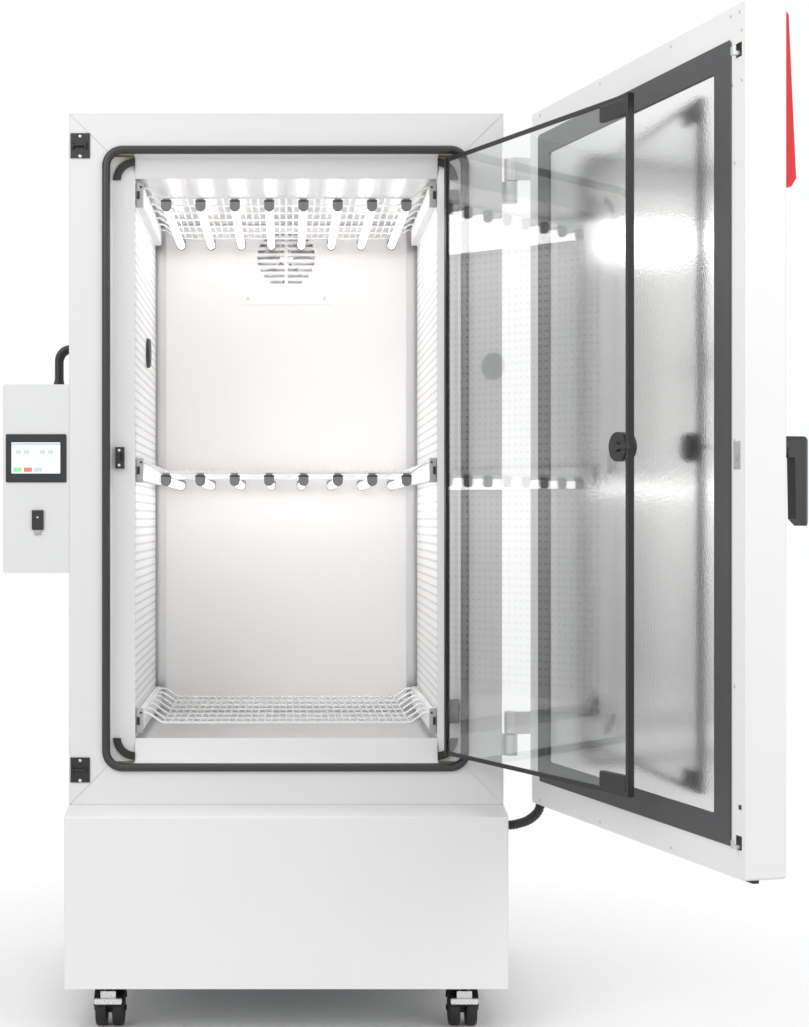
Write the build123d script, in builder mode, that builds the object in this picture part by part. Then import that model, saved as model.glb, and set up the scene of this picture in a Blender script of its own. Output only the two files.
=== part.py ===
from build123d import *
import math
import os

# Environmental test chamber for plant growth: a tall insulated cabinet on casters, with
# two lamp shelves, one wire shelf, a glass inner door and a foam filled outer door.
# Millimetres. X runs to the right, Y to the back, Z up from the floor. X = 0 and Y = 0
# are the middle of the cabinet's width and of its depth with the outer door closed.
# Both doors are drawn closed and then swung open by their rest angles.

os.makedirs("parts", exist_ok=True)


def save(solid, label):
    """Label a finished piece and write it as its own file."""
    solid.label = label
    export_step(solid, f"parts/{label}.step")


def front_plane(y):
    """Plane across the front of the cabinet at depth y: local X is X, local Y is Z."""
    return Plane.XZ.offset(-y)


def middle(low, high):
    return (low + high) / 2


# Housing
housing_width = 925.0
housing_height = 1945.0
fascia_y = -356.0            # front plane of the painted fascia
plinth_y = -450.0            # front plane of the plinth cover and of the closed door
back_y = 450.0
underside_z = 104.0
plinth_top_z = 462.0
fascia_bottom_z = 474.0
skin = 1.2                   # painted steel sheet
fascia_sheet = 1.5
seam = 0.3                   # gap left between neighbouring sheets
half_width = housing_width / 2

# Chamber
chamber_half_width = 325.0
chamber_floor_z = 610.0
chamber_ceiling_z = 1814.5
opening_y = -311.0
air_panel_y = 329.0          # front face of the rear air panel
plenum_depth = 40.0
liner_half_width = 371.0
liner_sheet = 1.0
air_sheet = 1.2
back_margin = 26.0           # air slot each side of the rear air panel
liner_back_y = air_panel_y + plenum_depth

# Door frame with its gasket
gasket_half_width = 392.4
gasket_bottom_z = 544.4
gasket_top_z = 1876.7
gasket_band = 17.5
gasket_corner = 44.0
gasket_height = 12.7
strip_lip = 4.0              # depth of the strips' outer edge behind the fascia
strip_drop_run = 3.0
strip_drop = 27.0
strip_sheet = 3.0

# Outer door, drawn closed
door_bottom_z = 478.0
door_top_z = 1944.0
door_gap = 16.0              # between the fascia and the closed door
door_sheet = 1.2
door_flange = 53.0
door_corner = 5.0
outer_axis_x = 484.0
outer_axis_y = -336.0
outer_rest_angle = 105.0
door_inner_y = fascia_y - door_gap
door_thickness = door_inner_y - plinth_y

# Glass door, drawn closed
glass_axis_x = 347.0
glass_axis_y = -344.0
glass_rest_angle = 114.0
glass_width = 692.0
glass_bottom_z = 580.0
glass_top_z = 1850.0
pane_thickness = 6.0
pane_y = -336.0              # middle of the pane

# Running fits
shaft_clearance = 0.05
soft_clearance = 0.3


def swing_outer(solid):
    """Swing a piece of the outer door from closed to its rest angle."""
    hinge_line = Axis((outer_axis_x, outer_axis_y, 0), (0, 0, 1))
    return solid.rotate(hinge_line, outer_rest_angle)


def swing_glass(solid):
    """Swing a piece of the glass door from closed to its rest angle."""
    hinge_line = Axis((glass_axis_x, glass_axis_y, 0), (0, 0, 1))
    return solid.rotate(hinge_line, glass_rest_angle)


# Cable port through the left wall
port_y = 0.0
port_z = 1466.0
port_tube_radius = 30.0
port_tube_wall = 1.5
port_rim_radius = 37.0
port_rim = 2.0
port_disc_radius = 34.0
port_disc = 8.0
port_plug_length = 45.0

# Base frame: a folded steel tray with a mounting plate above each caster
base_sheet = 2.5
base_wall = 38.0
caster_x = 376.0
caster_trail = 22.0          # from the swivel axis back to the wheel axle
front_caster_y = -358.0
rear_caster_y = 338.0
caster_plate = 62.0
caster_plate_thickness = 3.0
stem_radius = 6.0
stem_length = 14.0
base_front_y = fascia_y - 34.0
base_back_y = back_y - skin - seam
caster_places = {
    "front_left": (-caster_x, front_caster_y),
    "front_right": (caster_x, front_caster_y),
    "rear_left": (-caster_x, rear_caster_y),
    "rear_right": (caster_x, rear_caster_y),
}
base_half_width = half_width - skin - seam

with BuildPart() as base_frame:
    with BuildSketch(Plane.XY.offset(underside_z)):
        with Locations((0, middle(base_front_y, base_back_y))):
            Rectangle(2 * base_half_width, base_back_y - base_front_y)
    extrude(amount=base_wall)
    offset(amount=-base_sheet, openings=base_frame.faces().sort_by(Axis.Z)[-1:])
    with BuildSketch(Plane.XY.offset(underside_z)):
        with Locations(*caster_places.values()):
            Rectangle(caster_plate, caster_plate)
    extrude(amount=-caster_plate_thickness)
    with BuildSketch(Plane.XY.offset(underside_z)):
        with Locations(*caster_places.values()):
            Circle(stem_radius + 5)
    extrude(amount=stem_length + 4)
    with BuildSketch(Plane.XY.offset(underside_z - caster_plate_thickness)):
        with Locations(*caster_places.values()):
            Circle(stem_radius + shaft_clearance)
    extrude(amount=caster_plate_thickness + stem_length, mode=Mode.SUBTRACT)
save(base_frame.part, "base_frame")

# Outer panels: left side, right side and top
wall_bottom_z = underside_z
wall_depth = back_y - fascia_y
with BuildPart() as outer_panels:
    for inner_x in (-half_width, half_width - skin):
        with BuildSketch(Plane.YZ.offset(inner_x)):
            with Locations((middle(fascia_y, back_y), middle(wall_bottom_z, housing_height))):
                Rectangle(wall_depth, housing_height - wall_bottom_z)
        extrude(amount=skin)
    with BuildSketch(Plane.XY.offset(housing_height - skin)):
        with Locations((0, middle(fascia_y, back_y))):
            Rectangle(2 * base_half_width, wall_depth)
    extrude(amount=skin)
    with BuildSketch(Plane.YZ.offset(-half_width - 1)):
        with Locations((port_y, port_z)):
            Circle(port_tube_radius + seam)
    extrude(amount=skin + 2, mode=Mode.SUBTRACT)
save(outer_panels.part, "outer_panels")

# Rear panel with two fields of cooling slots and the ways out for drain and power
vent_slots = 9
vent_pitch = 16.0
vent_length = 260.0
vent_height = 6.0
vent_z = 300.0
drain_x = -300.0
drain_z = 190.0
power_x = 300.0
power_z = 190.0
service_hole = 9.0
with BuildPart() as rear_panel:
    with BuildSketch(front_plane(back_y)):
        with Locations((0, middle(underside_z, housing_height - skin - seam))):
            Rectangle(2 * base_half_width, housing_height - skin - seam - underside_z)
        with Locations((-170, vent_z), (170, vent_z)):
            with GridLocations(1, vent_pitch, 1, vent_slots):
                Rectangle(vent_length, vent_height, mode=Mode.SUBTRACT)
        with Locations((drain_x, drain_z), (power_x, power_z)):
            Circle(service_hole + seam, mode=Mode.SUBTRACT)
    extrude(amount=skin)
save(rear_panel.part, "rear_panel")

# Front fascia: four flat strips with open mitre joints at the corners
strip_outer_half_width = gasket_half_width - gasket_band
strip_bottom_z = gasket_bottom_z + gasket_band
strip_top_z = gasket_top_z - gasket_band
strip_outer_edge = strip_outer_half_width + strip_sheet + seam
mitre_gap = 0.8
fascia_top_z = housing_height - skin - seam
with BuildPart() as front_fascia:
    with BuildSketch(front_plane(fascia_y)):
        with Locations((0, middle(fascia_bottom_z, fascia_top_z))):
            Rectangle(2 * base_half_width, fascia_top_z - fascia_bottom_z)
        with Locations((0, middle(strip_bottom_z, strip_top_z))):
            Rectangle(
                2 * strip_outer_edge,
                strip_top_z - strip_bottom_z + 2 * (strip_sheet + seam),
                mode=Mode.SUBTRACT,
            )
        for side in (-1, 1):
            for outer_z, inner_z in (
                (fascia_bottom_z, strip_bottom_z - strip_sheet - seam),
                (fascia_top_z, strip_top_z + strip_sheet + seam),
            ):
                run = base_half_width - strip_outer_edge
                rise = outer_z - inner_z
                angle = math.degrees(math.atan2(rise, side * run))
                place = (side * middle(base_half_width, strip_outer_edge), middle(outer_z, inner_z))
                with Locations(place):
                    Rectangle(
                        math.hypot(run, rise) + 12, mitre_gap, rotation=angle, mode=Mode.SUBTRACT
                    )
    extrude(amount=-fascia_sheet)
save(front_fascia.part, "front_fascia")

# Plinth cover: a folded sheet with a top that slopes up to the fascia
plinth_sheet = 1.5
plinth_bend = 4.0
plinth_rear_y = fascia_y - seam


def plinth_outline(inset, overrun):
    """Side view of the plinth, set in from the outside by the sheet's thickness."""
    return [
        (plinth_y + inset, underside_z - overrun),
        (plinth_y + inset, plinth_top_z - inset),
        (plinth_rear_y + overrun, fascia_bottom_z - seam - inset),
        (plinth_rear_y + overrun, underside_z - overrun),
    ]


with BuildPart() as plinth_cover:
    with BuildSketch(Plane.YZ.offset(-half_width)):
        with BuildLine():
            Polyline(*plinth_outline(0, 0), close=True)
        make_face()
    extrude(amount=housing_width)
    upright_edges = plinth_cover.edges().filter_by(Axis.Z).group_by(Axis.Y)[0]
    top_edge = plinth_cover.edges().filter_by(Axis.X).group_by(Axis.Y)[0].sort_by(Axis.Z)[-1:]
    fillet(upright_edges + top_edge, plinth_bend)
    with BuildSketch(Plane.YZ.offset(-half_width + plinth_sheet)):
        with BuildLine():
            Polyline(*plinth_outline(plinth_sheet, 1), close=True)
        make_face()
    extrude(amount=housing_width - 2 * plinth_sheet, mode=Mode.SUBTRACT)
save(plinth_cover.part, "plinth_cover")

# Insulation: five foam slabs round the chamber
foam_front_y = fascia_y + fascia_sheet + seam
foam_step_y = opening_y + strip_sheet + seam
foam_step_x = strip_outer_edge + 2.0
foam_inner_x = liner_half_width + liner_sheet + seam
foam_outer_x = base_half_width - seam
foam_back_y = back_y - skin - seam
foam_floor_z = chamber_floor_z - liner_sheet - seam
foam_ceiling_z = chamber_ceiling_z + liner_sheet + seam
foam_bottom_z = fascia_bottom_z + 2.0
foam_top_z = housing_height - skin - seam
foam_rear_y = liner_back_y + liner_sheet + seam
motor_z = 1732.0
motor_radius = 45.0


def side_foam_outline(side):
    """Plan of a side slab, stepped to leave room for the frame strips."""
    return [
        (side * foam_outer_x, foam_front_y),
        (side * foam_step_x, foam_front_y),
        (side * foam_step_x, foam_step_y),
        (side * foam_inner_x, foam_step_y),
        (side * foam_inner_x, foam_back_y),
        (side * foam_outer_x, foam_back_y),
    ]


def level_foam_outline(step_z, inner_z, outer_z):
    """Side view of the top or bottom slab, stepped in the same way."""
    return [
        (foam_front_y, outer_z),
        (foam_front_y, step_z),
        (foam_step_y, step_z),
        (foam_step_y, inner_z),
        (foam_back_y, inner_z),
        (foam_back_y, outer_z),
    ]


level_foam_x = foam_inner_x - seam
with BuildPart() as insulation:
    for side in (-1, 1):
        with BuildSketch(Plane.XY.offset(foam_bottom_z)):
            with BuildLine():
                Polyline(*side_foam_outline(side), close=True)
            make_face()
        extrude(amount=foam_top_z - foam_bottom_z)
    for step_z, inner_z, outer_z in (
        (strip_bottom_z - strip_sheet - 2.0, foam_floor_z, foam_bottom_z),
        (strip_top_z + strip_sheet + 2.0, foam_ceiling_z, foam_top_z),
    ):
        with BuildSketch(Plane.YZ.offset(-level_foam_x)):
            with BuildLine():
                Polyline(*level_foam_outline(step_z, inner_z, outer_z), close=True)
            make_face()
        extrude(amount=2 * level_foam_x)
    with BuildSketch(front_plane(foam_rear_y)):
        with Locations((0, middle(foam_floor_z, foam_ceiling_z))):
            Rectangle(2 * level_foam_x, foam_ceiling_z - foam_floor_z - 2 * seam)
        with Locations((0, motor_z)):
            Circle(motor_radius + seam, mode=Mode.SUBTRACT)
    extrude(amount=foam_rear_y - foam_back_y)
    with BuildSketch(Plane.YZ.offset(-foam_outer_x - 1)):
        with Locations((port_y, port_z)):
            Circle(port_tube_radius + seam)
    extrude(amount=foam_outer_x - foam_inner_x + 2, mode=Mode.SUBTRACT)
save(insulation.part, "insulation")

# Inner liner: a stainless box, open to the front
liner_front_y = foam_step_y + 1.0
motor_shaft_radius = 4.0
motor_boss_radius = 12.0
with BuildPart() as inner_liner:
    with BuildSketch(front_plane(liner_back_y + liner_sheet)):
        with Locations((0, middle(chamber_floor_z, chamber_ceiling_z))):
            Rectangle(
                2 * (liner_half_width + liner_sheet),
                chamber_ceiling_z - chamber_floor_z + 2 * liner_sheet,
            )
    extrude(amount=liner_back_y + liner_sheet - liner_front_y)
    offset(amount=-liner_sheet, openings=inner_liner.faces().sort_by(Axis.Y)[:1])
    with BuildSketch(Plane.YZ.offset(-liner_half_width - liner_sheet - 1)):
        with Locations((port_y, port_z)):
            Circle(port_tube_radius + seam)
    extrude(amount=liner_sheet + 2, mode=Mode.SUBTRACT)
    with BuildSketch(front_plane(liner_back_y + liner_sheet + 1)):
        with Locations((0, motor_z)):
            Circle(motor_boss_radius + seam)
    extrude(amount=liner_sheet + 2, mode=Mode.SUBTRACT)
save(inner_liner.part, "inner_liner")

# Frame strips: two full height uprights, with the top lip and the sill between them
band_width = strip_outer_half_width - chamber_half_width
band_depth = opening_y - fascia_y


def strip_outline(width):
    """Section of a strip: distance in from its outer edge, depth behind the fascia."""
    return [
        (0, strip_lip),
        (strip_drop_run, strip_lip + strip_drop),
        (width, band_depth),
        (width, band_depth + strip_sheet),
        (strip_drop_run - strip_sheet, strip_lip + strip_drop + strip_sheet),
        (-strip_sheet, strip_lip),
    ]


side_strip_height = strip_top_z - strip_bottom_z
level_strip_length = 2 * (chamber_half_width - seam)
strip_places = (
    ((-strip_outer_half_width, strip_bottom_z), (1, 0, 0), (0, 0, 1), band_width, side_strip_height),
    ((strip_outer_half_width, strip_top_z), (-1, 0, 0), (0, 0, -1), band_width, side_strip_height),
    (
        (-level_strip_length / 2, strip_top_z),
        (0, 0, -1),
        (1, 0, 0),
        strip_top_z - chamber_ceiling_z,
        level_strip_length,
    ),
    (
        (level_strip_length / 2, strip_bottom_z),
        (0, 0, 1),
        (-1, 0, 0),
        chamber_floor_z - strip_bottom_z,
        level_strip_length,
    ),
)
with BuildPart() as frame_strips:
    for (start_x, start_z), inward, along, width, length in strip_places:
        with BuildSketch(Plane(origin=(start_x, fascia_y, start_z), x_dir=inward, z_dir=along)):
            with BuildLine():
                Polyline(*strip_outline(width), close=True)
            make_face()
        extrude(amount=length)
save(frame_strips.part, "frame_strips")

# Door gasket: a bulb seal all round, and a black seal inside each corner of the frame
gasket_lip = 3.0
corner_seal_radius = 47.0
corner_seal_band = 17.0
corner_seal_thickness = 3.0
corner_inner_radius = gasket_corner - gasket_band


def corner_seal(side, corner_z, up):
    """Quarter ring that rounds one corner of the door frame."""
    reach = strip_drop_run + seam + corner_seal_radius
    centre_x = side * (strip_outer_half_width - reach)
    centre_z = corner_z + up * reach
    half = corner_seal_radius / 2
    with BuildPart() as seal:
        with BuildSketch(front_plane(fascia_y + strip_lip + strip_drop - seam)):
            with Locations((centre_x, centre_z)):
                Circle(corner_seal_radius)
                Circle(corner_seal_radius - corner_seal_band, mode=Mode.SUBTRACT)
            with Locations((centre_x + side * half, centre_z - up * half)):
                Rectangle(2 * half, 2 * half, mode=Mode.INTERSECT)
        extrude(amount=corner_seal_thickness)
    return seal.part


corner_seals = [
    corner_seal(side, corner_z, up)
    for side in (-1, 1)
    for corner_z, up in ((strip_bottom_z, 1), (strip_top_z, -1))
]
with BuildPart() as door_gasket:
    with BuildSketch(front_plane(fascia_y)):
        with Locations((0, middle(gasket_bottom_z, gasket_top_z))):
            RectangleRounded(2 * gasket_half_width, gasket_top_z - gasket_bottom_z, gasket_corner)
            RectangleRounded(
                2 * strip_outer_half_width,
                strip_top_z - strip_bottom_z,
                corner_inner_radius,
                mode=Mode.SUBTRACT,
            )
    extrude(amount=gasket_height)
    chamfer(door_gasket.faces().sort_by(Axis.Y)[0].edges(), gasket_lip)
    add(corner_seals)
save(door_gasket.part, "door_gasket")

# Rear air panel: a shallow pan that hides the plenum, with a hole for the fan
air_panel_half_width = chamber_half_width - back_margin
air_panel_bottom_z = chamber_floor_z + 22.0
air_panel_top_z = chamber_ceiling_z - 1.0
fan_hole_radius = 78.0
with BuildPart() as rear_air_panel:
    with BuildSketch(Plane.XY.offset(air_panel_bottom_z)):
        with Locations((0, middle(air_panel_y, liner_back_y - seam))):
            Rectangle(2 * air_panel_half_width, liner_back_y - seam - air_panel_y)
        with Locations((0, middle(air_panel_y + air_sheet, liner_back_y + 1))):
            Rectangle(
                2 * (air_panel_half_width - air_sheet),
                liner_back_y + 1 - air_panel_y - air_sheet,
                mode=Mode.SUBTRACT,
            )
    extrude(amount=air_panel_top_z - air_panel_bottom_z)
    with BuildSketch(front_plane(air_panel_y - 1)):
        with Locations((0, motor_z)):
            Circle(fan_hole_radius)
    extrude(amount=-air_sheet - 2, mode=Mode.SUBTRACT)
save(rear_air_panel.part, "rear_air_panel")

# Fan guard: a plate of its own with a round field of louvre slots
guard_half_width = 119.5
guard_bottom_z = 1616.0
guard_sheet = 1.2
guard_radius = 71.5
guard_pitch = 15.0
guard_slot = 7.5
guard_rib = 8.0              # solid strip down the middle of the slots
with BuildPart() as fan_guard:
    with BuildSketch(front_plane(air_panel_y - seam)):
        with Locations((0, middle(guard_bottom_z, air_panel_top_z))):
            Rectangle(2 * guard_half_width, air_panel_top_z - guard_bottom_z)
        for row in range(-4, 5):
            row_z = row * guard_pitch
            chord = math.sqrt(guard_radius**2 - row_z**2)
            length = chord - guard_rib / 2
            for side in (-1, 1):
                with Locations((side * (guard_rib / 2 + length / 2), motor_z + row_z)):
                    Rectangle(length, guard_slot, mode=Mode.SUBTRACT)
    extrude(amount=guard_sheet)
save(fan_guard.part, "fan_guard")

# Circulation fan: a radial wheel on the motor's shaft, between the guard and the liner
fan_radius = 70.0
fan_hub_radius = 16.0
fan_front_y = air_panel_y + 6.0
fan_blades = 7
fan_disc = 2.0
blade_thickness = 2.0
blade_bow = 60.0
motor_front_y = liner_back_y - 2.0
motor_length = 62.0
shaft_length = 28.0
fan_back_y = motor_front_y - 1.0


def fan_blade(inner_radius, outer_radius, bow, thickness):
    """Plan of one curved blade that runs out along X."""
    with BuildSketch() as blade:
        with BuildLine():
            RadiusArc((inner_radius, 0), (outer_radius, 0), bow)
        trace(line_width=thickness)
    return blade.sketch


circulation_blade = fan_blade(fan_hub_radius - 2, fan_radius - 2, blade_bow, blade_thickness)
with BuildPart() as circulation_fan:
    with BuildSketch(front_plane(fan_back_y)):
        with Locations((0, motor_z)):
            Circle(fan_radius)
    extrude(amount=fan_disc)
    with BuildSketch(front_plane(fan_back_y)):
        with Locations((0, motor_z)):
            Circle(fan_hub_radius)
            with PolarLocations(0, fan_blades):
                add(circulation_blade)
    extrude(amount=fan_back_y - fan_front_y)
    with BuildSketch(front_plane(fan_back_y)):
        with Locations((0, motor_z)):
            Circle(motor_shaft_radius)
    extrude(amount=-shaft_length)
save(circulation_fan.part, "circulation_fan")

# Circulation motor: a round body in the rear insulation, with a boss through the liner
with BuildPart() as circulation_motor:
    with BuildSketch(front_plane(foam_rear_y)):
        with Locations((0, motor_z)):
            Circle(motor_radius)
    extrude(amount=-motor_length)
    chamfer(circulation_motor.edges().filter_by(GeomType.CIRCLE).sort_by(Axis.Y)[-1:], 6)
    with BuildSketch(front_plane(foam_rear_y)):
        with Locations((0, motor_z)):
            Circle(motor_boss_radius)
    extrude(amount=foam_rear_y - motor_front_y)
    with BuildSketch(front_plane(motor_front_y)):
        with Locations((0, motor_z)):
            Circle(motor_shaft_radius + shaft_clearance)
    extrude(amount=-shaft_length - 1, mode=Mode.SUBTRACT)
save(circulation_motor.part, "circulation_motor")

# Evaporator: a finned coil in the plenum below the fan, hung on two brackets
coil_half_width = 240.0
coil_bottom_z = 1150.0
coil_top_z = 1500.0
coil_front_y = air_panel_y + air_sheet + 4.0
coil_back_y = liner_back_y - 6.0
coil_fins = 16
coil_fin = 0.8
coil_tubes = 5
coil_tube_radius = 5.0
coil_end = 3.0
coil_core = 14.0             # tubes and fins packed together in the coil's middle
coil_stub = 12.0
coil_bracket = 30.0
with BuildPart() as evaporator:
    with BuildSketch(Plane.XY.offset(coil_bottom_z)):
        with Locations((0, middle(coil_front_y, coil_back_y))):
            with GridLocations(2 * coil_half_width / (coil_fins - 1), 1, coil_fins, 1):
                Rectangle(coil_fin, coil_back_y - coil_front_y)
            with GridLocations(2 * coil_half_width + coil_end, 1, 2, 1):
                Rectangle(coil_end, coil_back_y - coil_front_y)
            Rectangle(2 * coil_half_width, coil_core)
    extrude(amount=coil_top_z - coil_bottom_z)
    with BuildSketch(Plane.YZ.offset(-coil_half_width - coil_stub)):
        with Locations((middle(coil_front_y, coil_back_y), middle(coil_bottom_z, coil_top_z))):
            with GridLocations(1, (coil_top_z - coil_bottom_z) / coil_tubes, 1, coil_tubes):
                RegularPolygon(coil_tube_radius, 8)
    extrude(amount=coil_stub - coil_end)
    with BuildSketch(front_plane(coil_back_y)):
        for side in (-1, 1):
            with Locations((side * (coil_half_width + coil_end / 2), coil_top_z - coil_bracket)):
                Rectangle(coil_end, 2 * coil_bracket)
    extrude(amount=coil_back_y - liner_back_y)
save(evaporator.part, "evaporator")

# Shelves: levels of the front cross bar, and the section of the rails
shelf_bar_z = {"upper": 1775.7, "middle": 1182.4, "lower": 642.3}
bar_radius = 2.6
bar_count = 4
bar_rise = 20.8              # the cross bars' ends stand this much higher
bar_flat_x = 269.6
bar_crank_x = 297.0
wire_radius = 1.8
wire_pitch = 15.5
wire_count = 35
weld = 0.8
rack_front_y = -297.0
rack_back_y = 296.0
rail_width = 13.5
rail_sheet = 1.5
rail_top = 26.0              # above the front bar
rail_drop = 15.0             # below the front bar
bracket_width = 16.0
bracket_thickness = 6.0
bracket_top = 31.3
bracket_drop = 21.7
bracket_outer_x = chamber_half_width - 0.5
rail_inner_x = bracket_outer_x - bracket_width
rail_outer_x = rail_inner_x + rail_width
runner_sheet = 1.5
runner_leg = 16.0
runner_reach = chamber_half_width - rail_inner_x - 1.0

# Side air panels: folded channels in front of the liner walls, each with three runners
side_panel_front_y = opening_y + 7.0
side_panel_back_y = air_panel_y - 4.0
side_panel_top_z = chamber_ceiling_z - 1.0
side_panel_bottom_z = chamber_floor_z + 1.0
runner_front_y = rack_front_y + bar_radius + 2.0
runner_back_y = rack_back_y + 8.0
with BuildPart() as side_air_panels:
    for side in (-1, 1):
        inner_x = side * chamber_half_width
        outer_x = side * (liner_half_width - seam)
        with BuildSketch(Plane.XY.offset(side_panel_bottom_z)):
            with Locations((middle(inner_x, outer_x), middle(side_panel_front_y, side_panel_back_y))):
                Rectangle(abs(outer_x - inner_x), side_panel_back_y - side_panel_front_y)
            cut_x = middle(inner_x + side * air_sheet, outer_x + side)
            with Locations((cut_x, middle(side_panel_front_y, side_panel_back_y))):
                Rectangle(
                    abs(outer_x + side - inner_x - side * air_sheet),
                    side_panel_back_y - side_panel_front_y - 2 * air_sheet,
                    mode=Mode.SUBTRACT,
                )
        extrude(amount=side_panel_top_z - side_panel_bottom_z)
        for bar_z in shelf_bar_z.values():
            runner_top_z = bar_z - rail_drop - seam
            with BuildSketch(front_plane(runner_front_y)):
                with Locations((side * (chamber_half_width - runner_reach / 2), runner_top_z - runner_sheet / 2)):
                    Rectangle(runner_reach, runner_sheet)
                with Locations(
                    (side * (chamber_half_width - runner_sheet / 2), runner_top_z - runner_sheet + runner_leg / 2)
                ):
                    Rectangle(runner_sheet, runner_leg)
            extrude(amount=runner_front_y - runner_back_y)
    with BuildSketch(Plane.YZ.offset(-chamber_half_width - air_sheet - 1)):
        with Locations((port_y, port_z)):
            Circle(port_tube_radius + seam)
    extrude(amount=air_sheet + 2, mode=Mode.SUBTRACT)
save(side_air_panels.part, "side_air_panels")


def cross_bar(z):
    """One cross bar: low in the middle, cranked up to the rail at each end."""
    route = [
        (-rail_inner_x - rail_sheet / 2, z + bar_rise),
        (-bar_crank_x, z + bar_rise),
        (-bar_flat_x, z),
        (bar_flat_x, z),
        (bar_crank_x, z + bar_rise),
        (rail_inner_x + rail_sheet / 2, z + bar_rise),
    ]
    with BuildPart() as bar:
        with BuildLine(front_plane(0)) as spine:
            Polyline(*route)
        with BuildSketch(Plane.YZ.offset(route[0][0])):
            with Locations((0, z + bar_rise)):
                RegularPolygon(bar_radius, 4, rotation=45)
        sweep(path=spine.line, transition=Transition.RIGHT)
    return bar.part


def shelf_rack(bar_z):
    """Wire rack with its side rails and front brackets, welded up as one piece."""
    end_bar = cross_bar(bar_z)
    inner_bar = cross_bar(bar_z - weld - seam)
    step = (rack_back_y - rack_front_y) / (bar_count - 1)
    wire_z = bar_z + bar_radius + wire_radius - weld
    wire_front_y = rack_front_y - bar_radius
    wire_back_y = rack_back_y + bar_radius
    with BuildPart() as rack:
        with BuildSketch(front_plane(wire_front_y)):
            with Locations((0, wire_z)):
                with GridLocations(wire_pitch, 1, wire_count, 1):
                    RegularPolygon(wire_radius, 4)
        extrude(amount=wire_front_y - wire_back_y)
        with Locations((0, rack_front_y, 0), (0, rack_back_y, 0)):
            add(end_bar)
        for side in (-1, 1):
            centre_x = side * (rail_inner_x + rail_width / 2)
            with BuildSketch(front_plane(wire_front_y)):
                with Locations((centre_x, bar_z + middle(-rail_drop, rail_top))):
                    Rectangle(rail_width, rail_top + rail_drop)
                with Locations((centre_x, bar_z + middle(-rail_drop - 1, rail_top - rail_sheet))):
                    Rectangle(
                        rail_width - 2 * rail_sheet,
                        rail_top + rail_drop + 1 - rail_sheet,
                        mode=Mode.SUBTRACT,
                    )
            extrude(amount=wire_front_y - wire_back_y)
            with BuildSketch(front_plane(wire_front_y)):
                bracket_x = side * (bracket_outer_x - bracket_width / 2)
                with Locations((bracket_x, bar_z + middle(-bracket_drop, bracket_top))):
                    Rectangle(bracket_width, bracket_top + bracket_drop)
            extrude(amount=bracket_thickness)
        with Locations(*[(0, rack_front_y + step * i, 0) for i in range(1, bar_count - 1)]):
            add(inner_bar)
    return rack.part


for level, bar_z in shelf_bar_z.items():
    save(shelf_rack(bar_z), f"{level}_rack")

# Lamps: eight tubes under each of the two upper racks, each held by two end caps
lamp_count = 8
lamp_pitch = 74.1
lamp_radius = 8.5
lamp_drop = 18.7             # from the cross bar down to the tube's axis
cap_width = 22.0
cap_thickness = 12.0
cap_top = 6.2
clip_width = 15.0
cap_front_y = rack_front_y - cap_thickness / 2
cap_back_y = rack_back_y + cap_thickness / 2


def lamp_tubes(bar_z):
    """Eight glass tubes, each from the front cap to the rear one."""
    start_y = cap_front_y + cap_thickness + seam / 2
    end_y = cap_back_y - cap_thickness - seam / 2
    with BuildPart() as tubes:
        with BuildSketch(front_plane(start_y)):
            with Locations((0, bar_z - lamp_drop)):
                with GridLocations(lamp_pitch, 1, lamp_count, 1):
                    Circle(lamp_radius)
        extrude(amount=start_y - end_y)
    return tubes.part


def lamp_caps(bar_z):
    """Sixteen end caps with round bottoms, clipped under the front and the rear bar."""
    clip_top = bar_z - bar_radius - seam / 2
    with BuildPart() as caps:
        for start_y in (cap_front_y, cap_back_y - cap_thickness):
            with BuildSketch(front_plane(start_y)):
                with Locations((0, bar_z - lamp_drop)):
                    with GridLocations(lamp_pitch, 1, lamp_count, 1):
                        Circle(cap_width / 2)
                with Locations((0, bar_z - middle(lamp_drop, cap_top))):
                    with GridLocations(lamp_pitch, 1, lamp_count, 1):
                        Rectangle(cap_width, lamp_drop - cap_top)
                with Locations((0, middle(bar_z - cap_top, clip_top))):
                    with GridLocations(lamp_pitch, 1, lamp_count, 1):
                        Rectangle(clip_width, clip_top - bar_z + cap_top)
            extrude(amount=-cap_thickness)
    return caps.part


for level in ("upper", "middle"):
    save(lamp_tubes(shelf_bar_z[level]), f"{level}_tubes")
    save(lamp_caps(shelf_bar_z[level]), f"{level}_caps")

# Cable port: a steel tube through the left wall and the silicone plug that closes it
port_inner_x = -chamber_half_width + seam
port_outer_x = -half_width - seam
with BuildPart() as port_tube:
    with BuildSketch(Plane.YZ.offset(port_outer_x - port_rim)):
        with Locations((port_y, port_z)):
            Circle(port_tube_radius)
    extrude(amount=port_inner_x - port_outer_x + 2 * port_rim)
    for rim_x in (port_outer_x - port_rim, port_inner_x):
        with BuildSketch(Plane.YZ.offset(rim_x)):
            with Locations((port_y, port_z)):
                Circle(port_rim_radius)
        extrude(amount=port_rim)
    with BuildSketch(Plane.YZ.offset(port_outer_x - port_rim)):
        with Locations((port_y, port_z)):
            Circle(port_tube_radius - port_tube_wall)
    extrude(amount=port_inner_x - port_outer_x + 2 * port_rim, mode=Mode.SUBTRACT)
save(port_tube.part, "port_tube")

plug_seat_x = port_inner_x + port_rim + soft_clearance
with BuildPart() as port_plug:
    with BuildSketch(Plane.YZ.offset(plug_seat_x)):
        with Locations((port_y, port_z)):
            Circle(port_disc_radius)
    extrude(amount=port_disc)
    chamfer(port_plug.edges().sort_by(Axis.X)[-1:], 3)
    with BuildSketch(Plane.YZ.offset(plug_seat_x)):
        with Locations((port_y, port_z)):
            Circle(port_tube_radius - port_tube_wall - soft_clearance)
    extrude(amount=-port_plug_length, taper=2)
save(port_plug.part, "port_plug")

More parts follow.
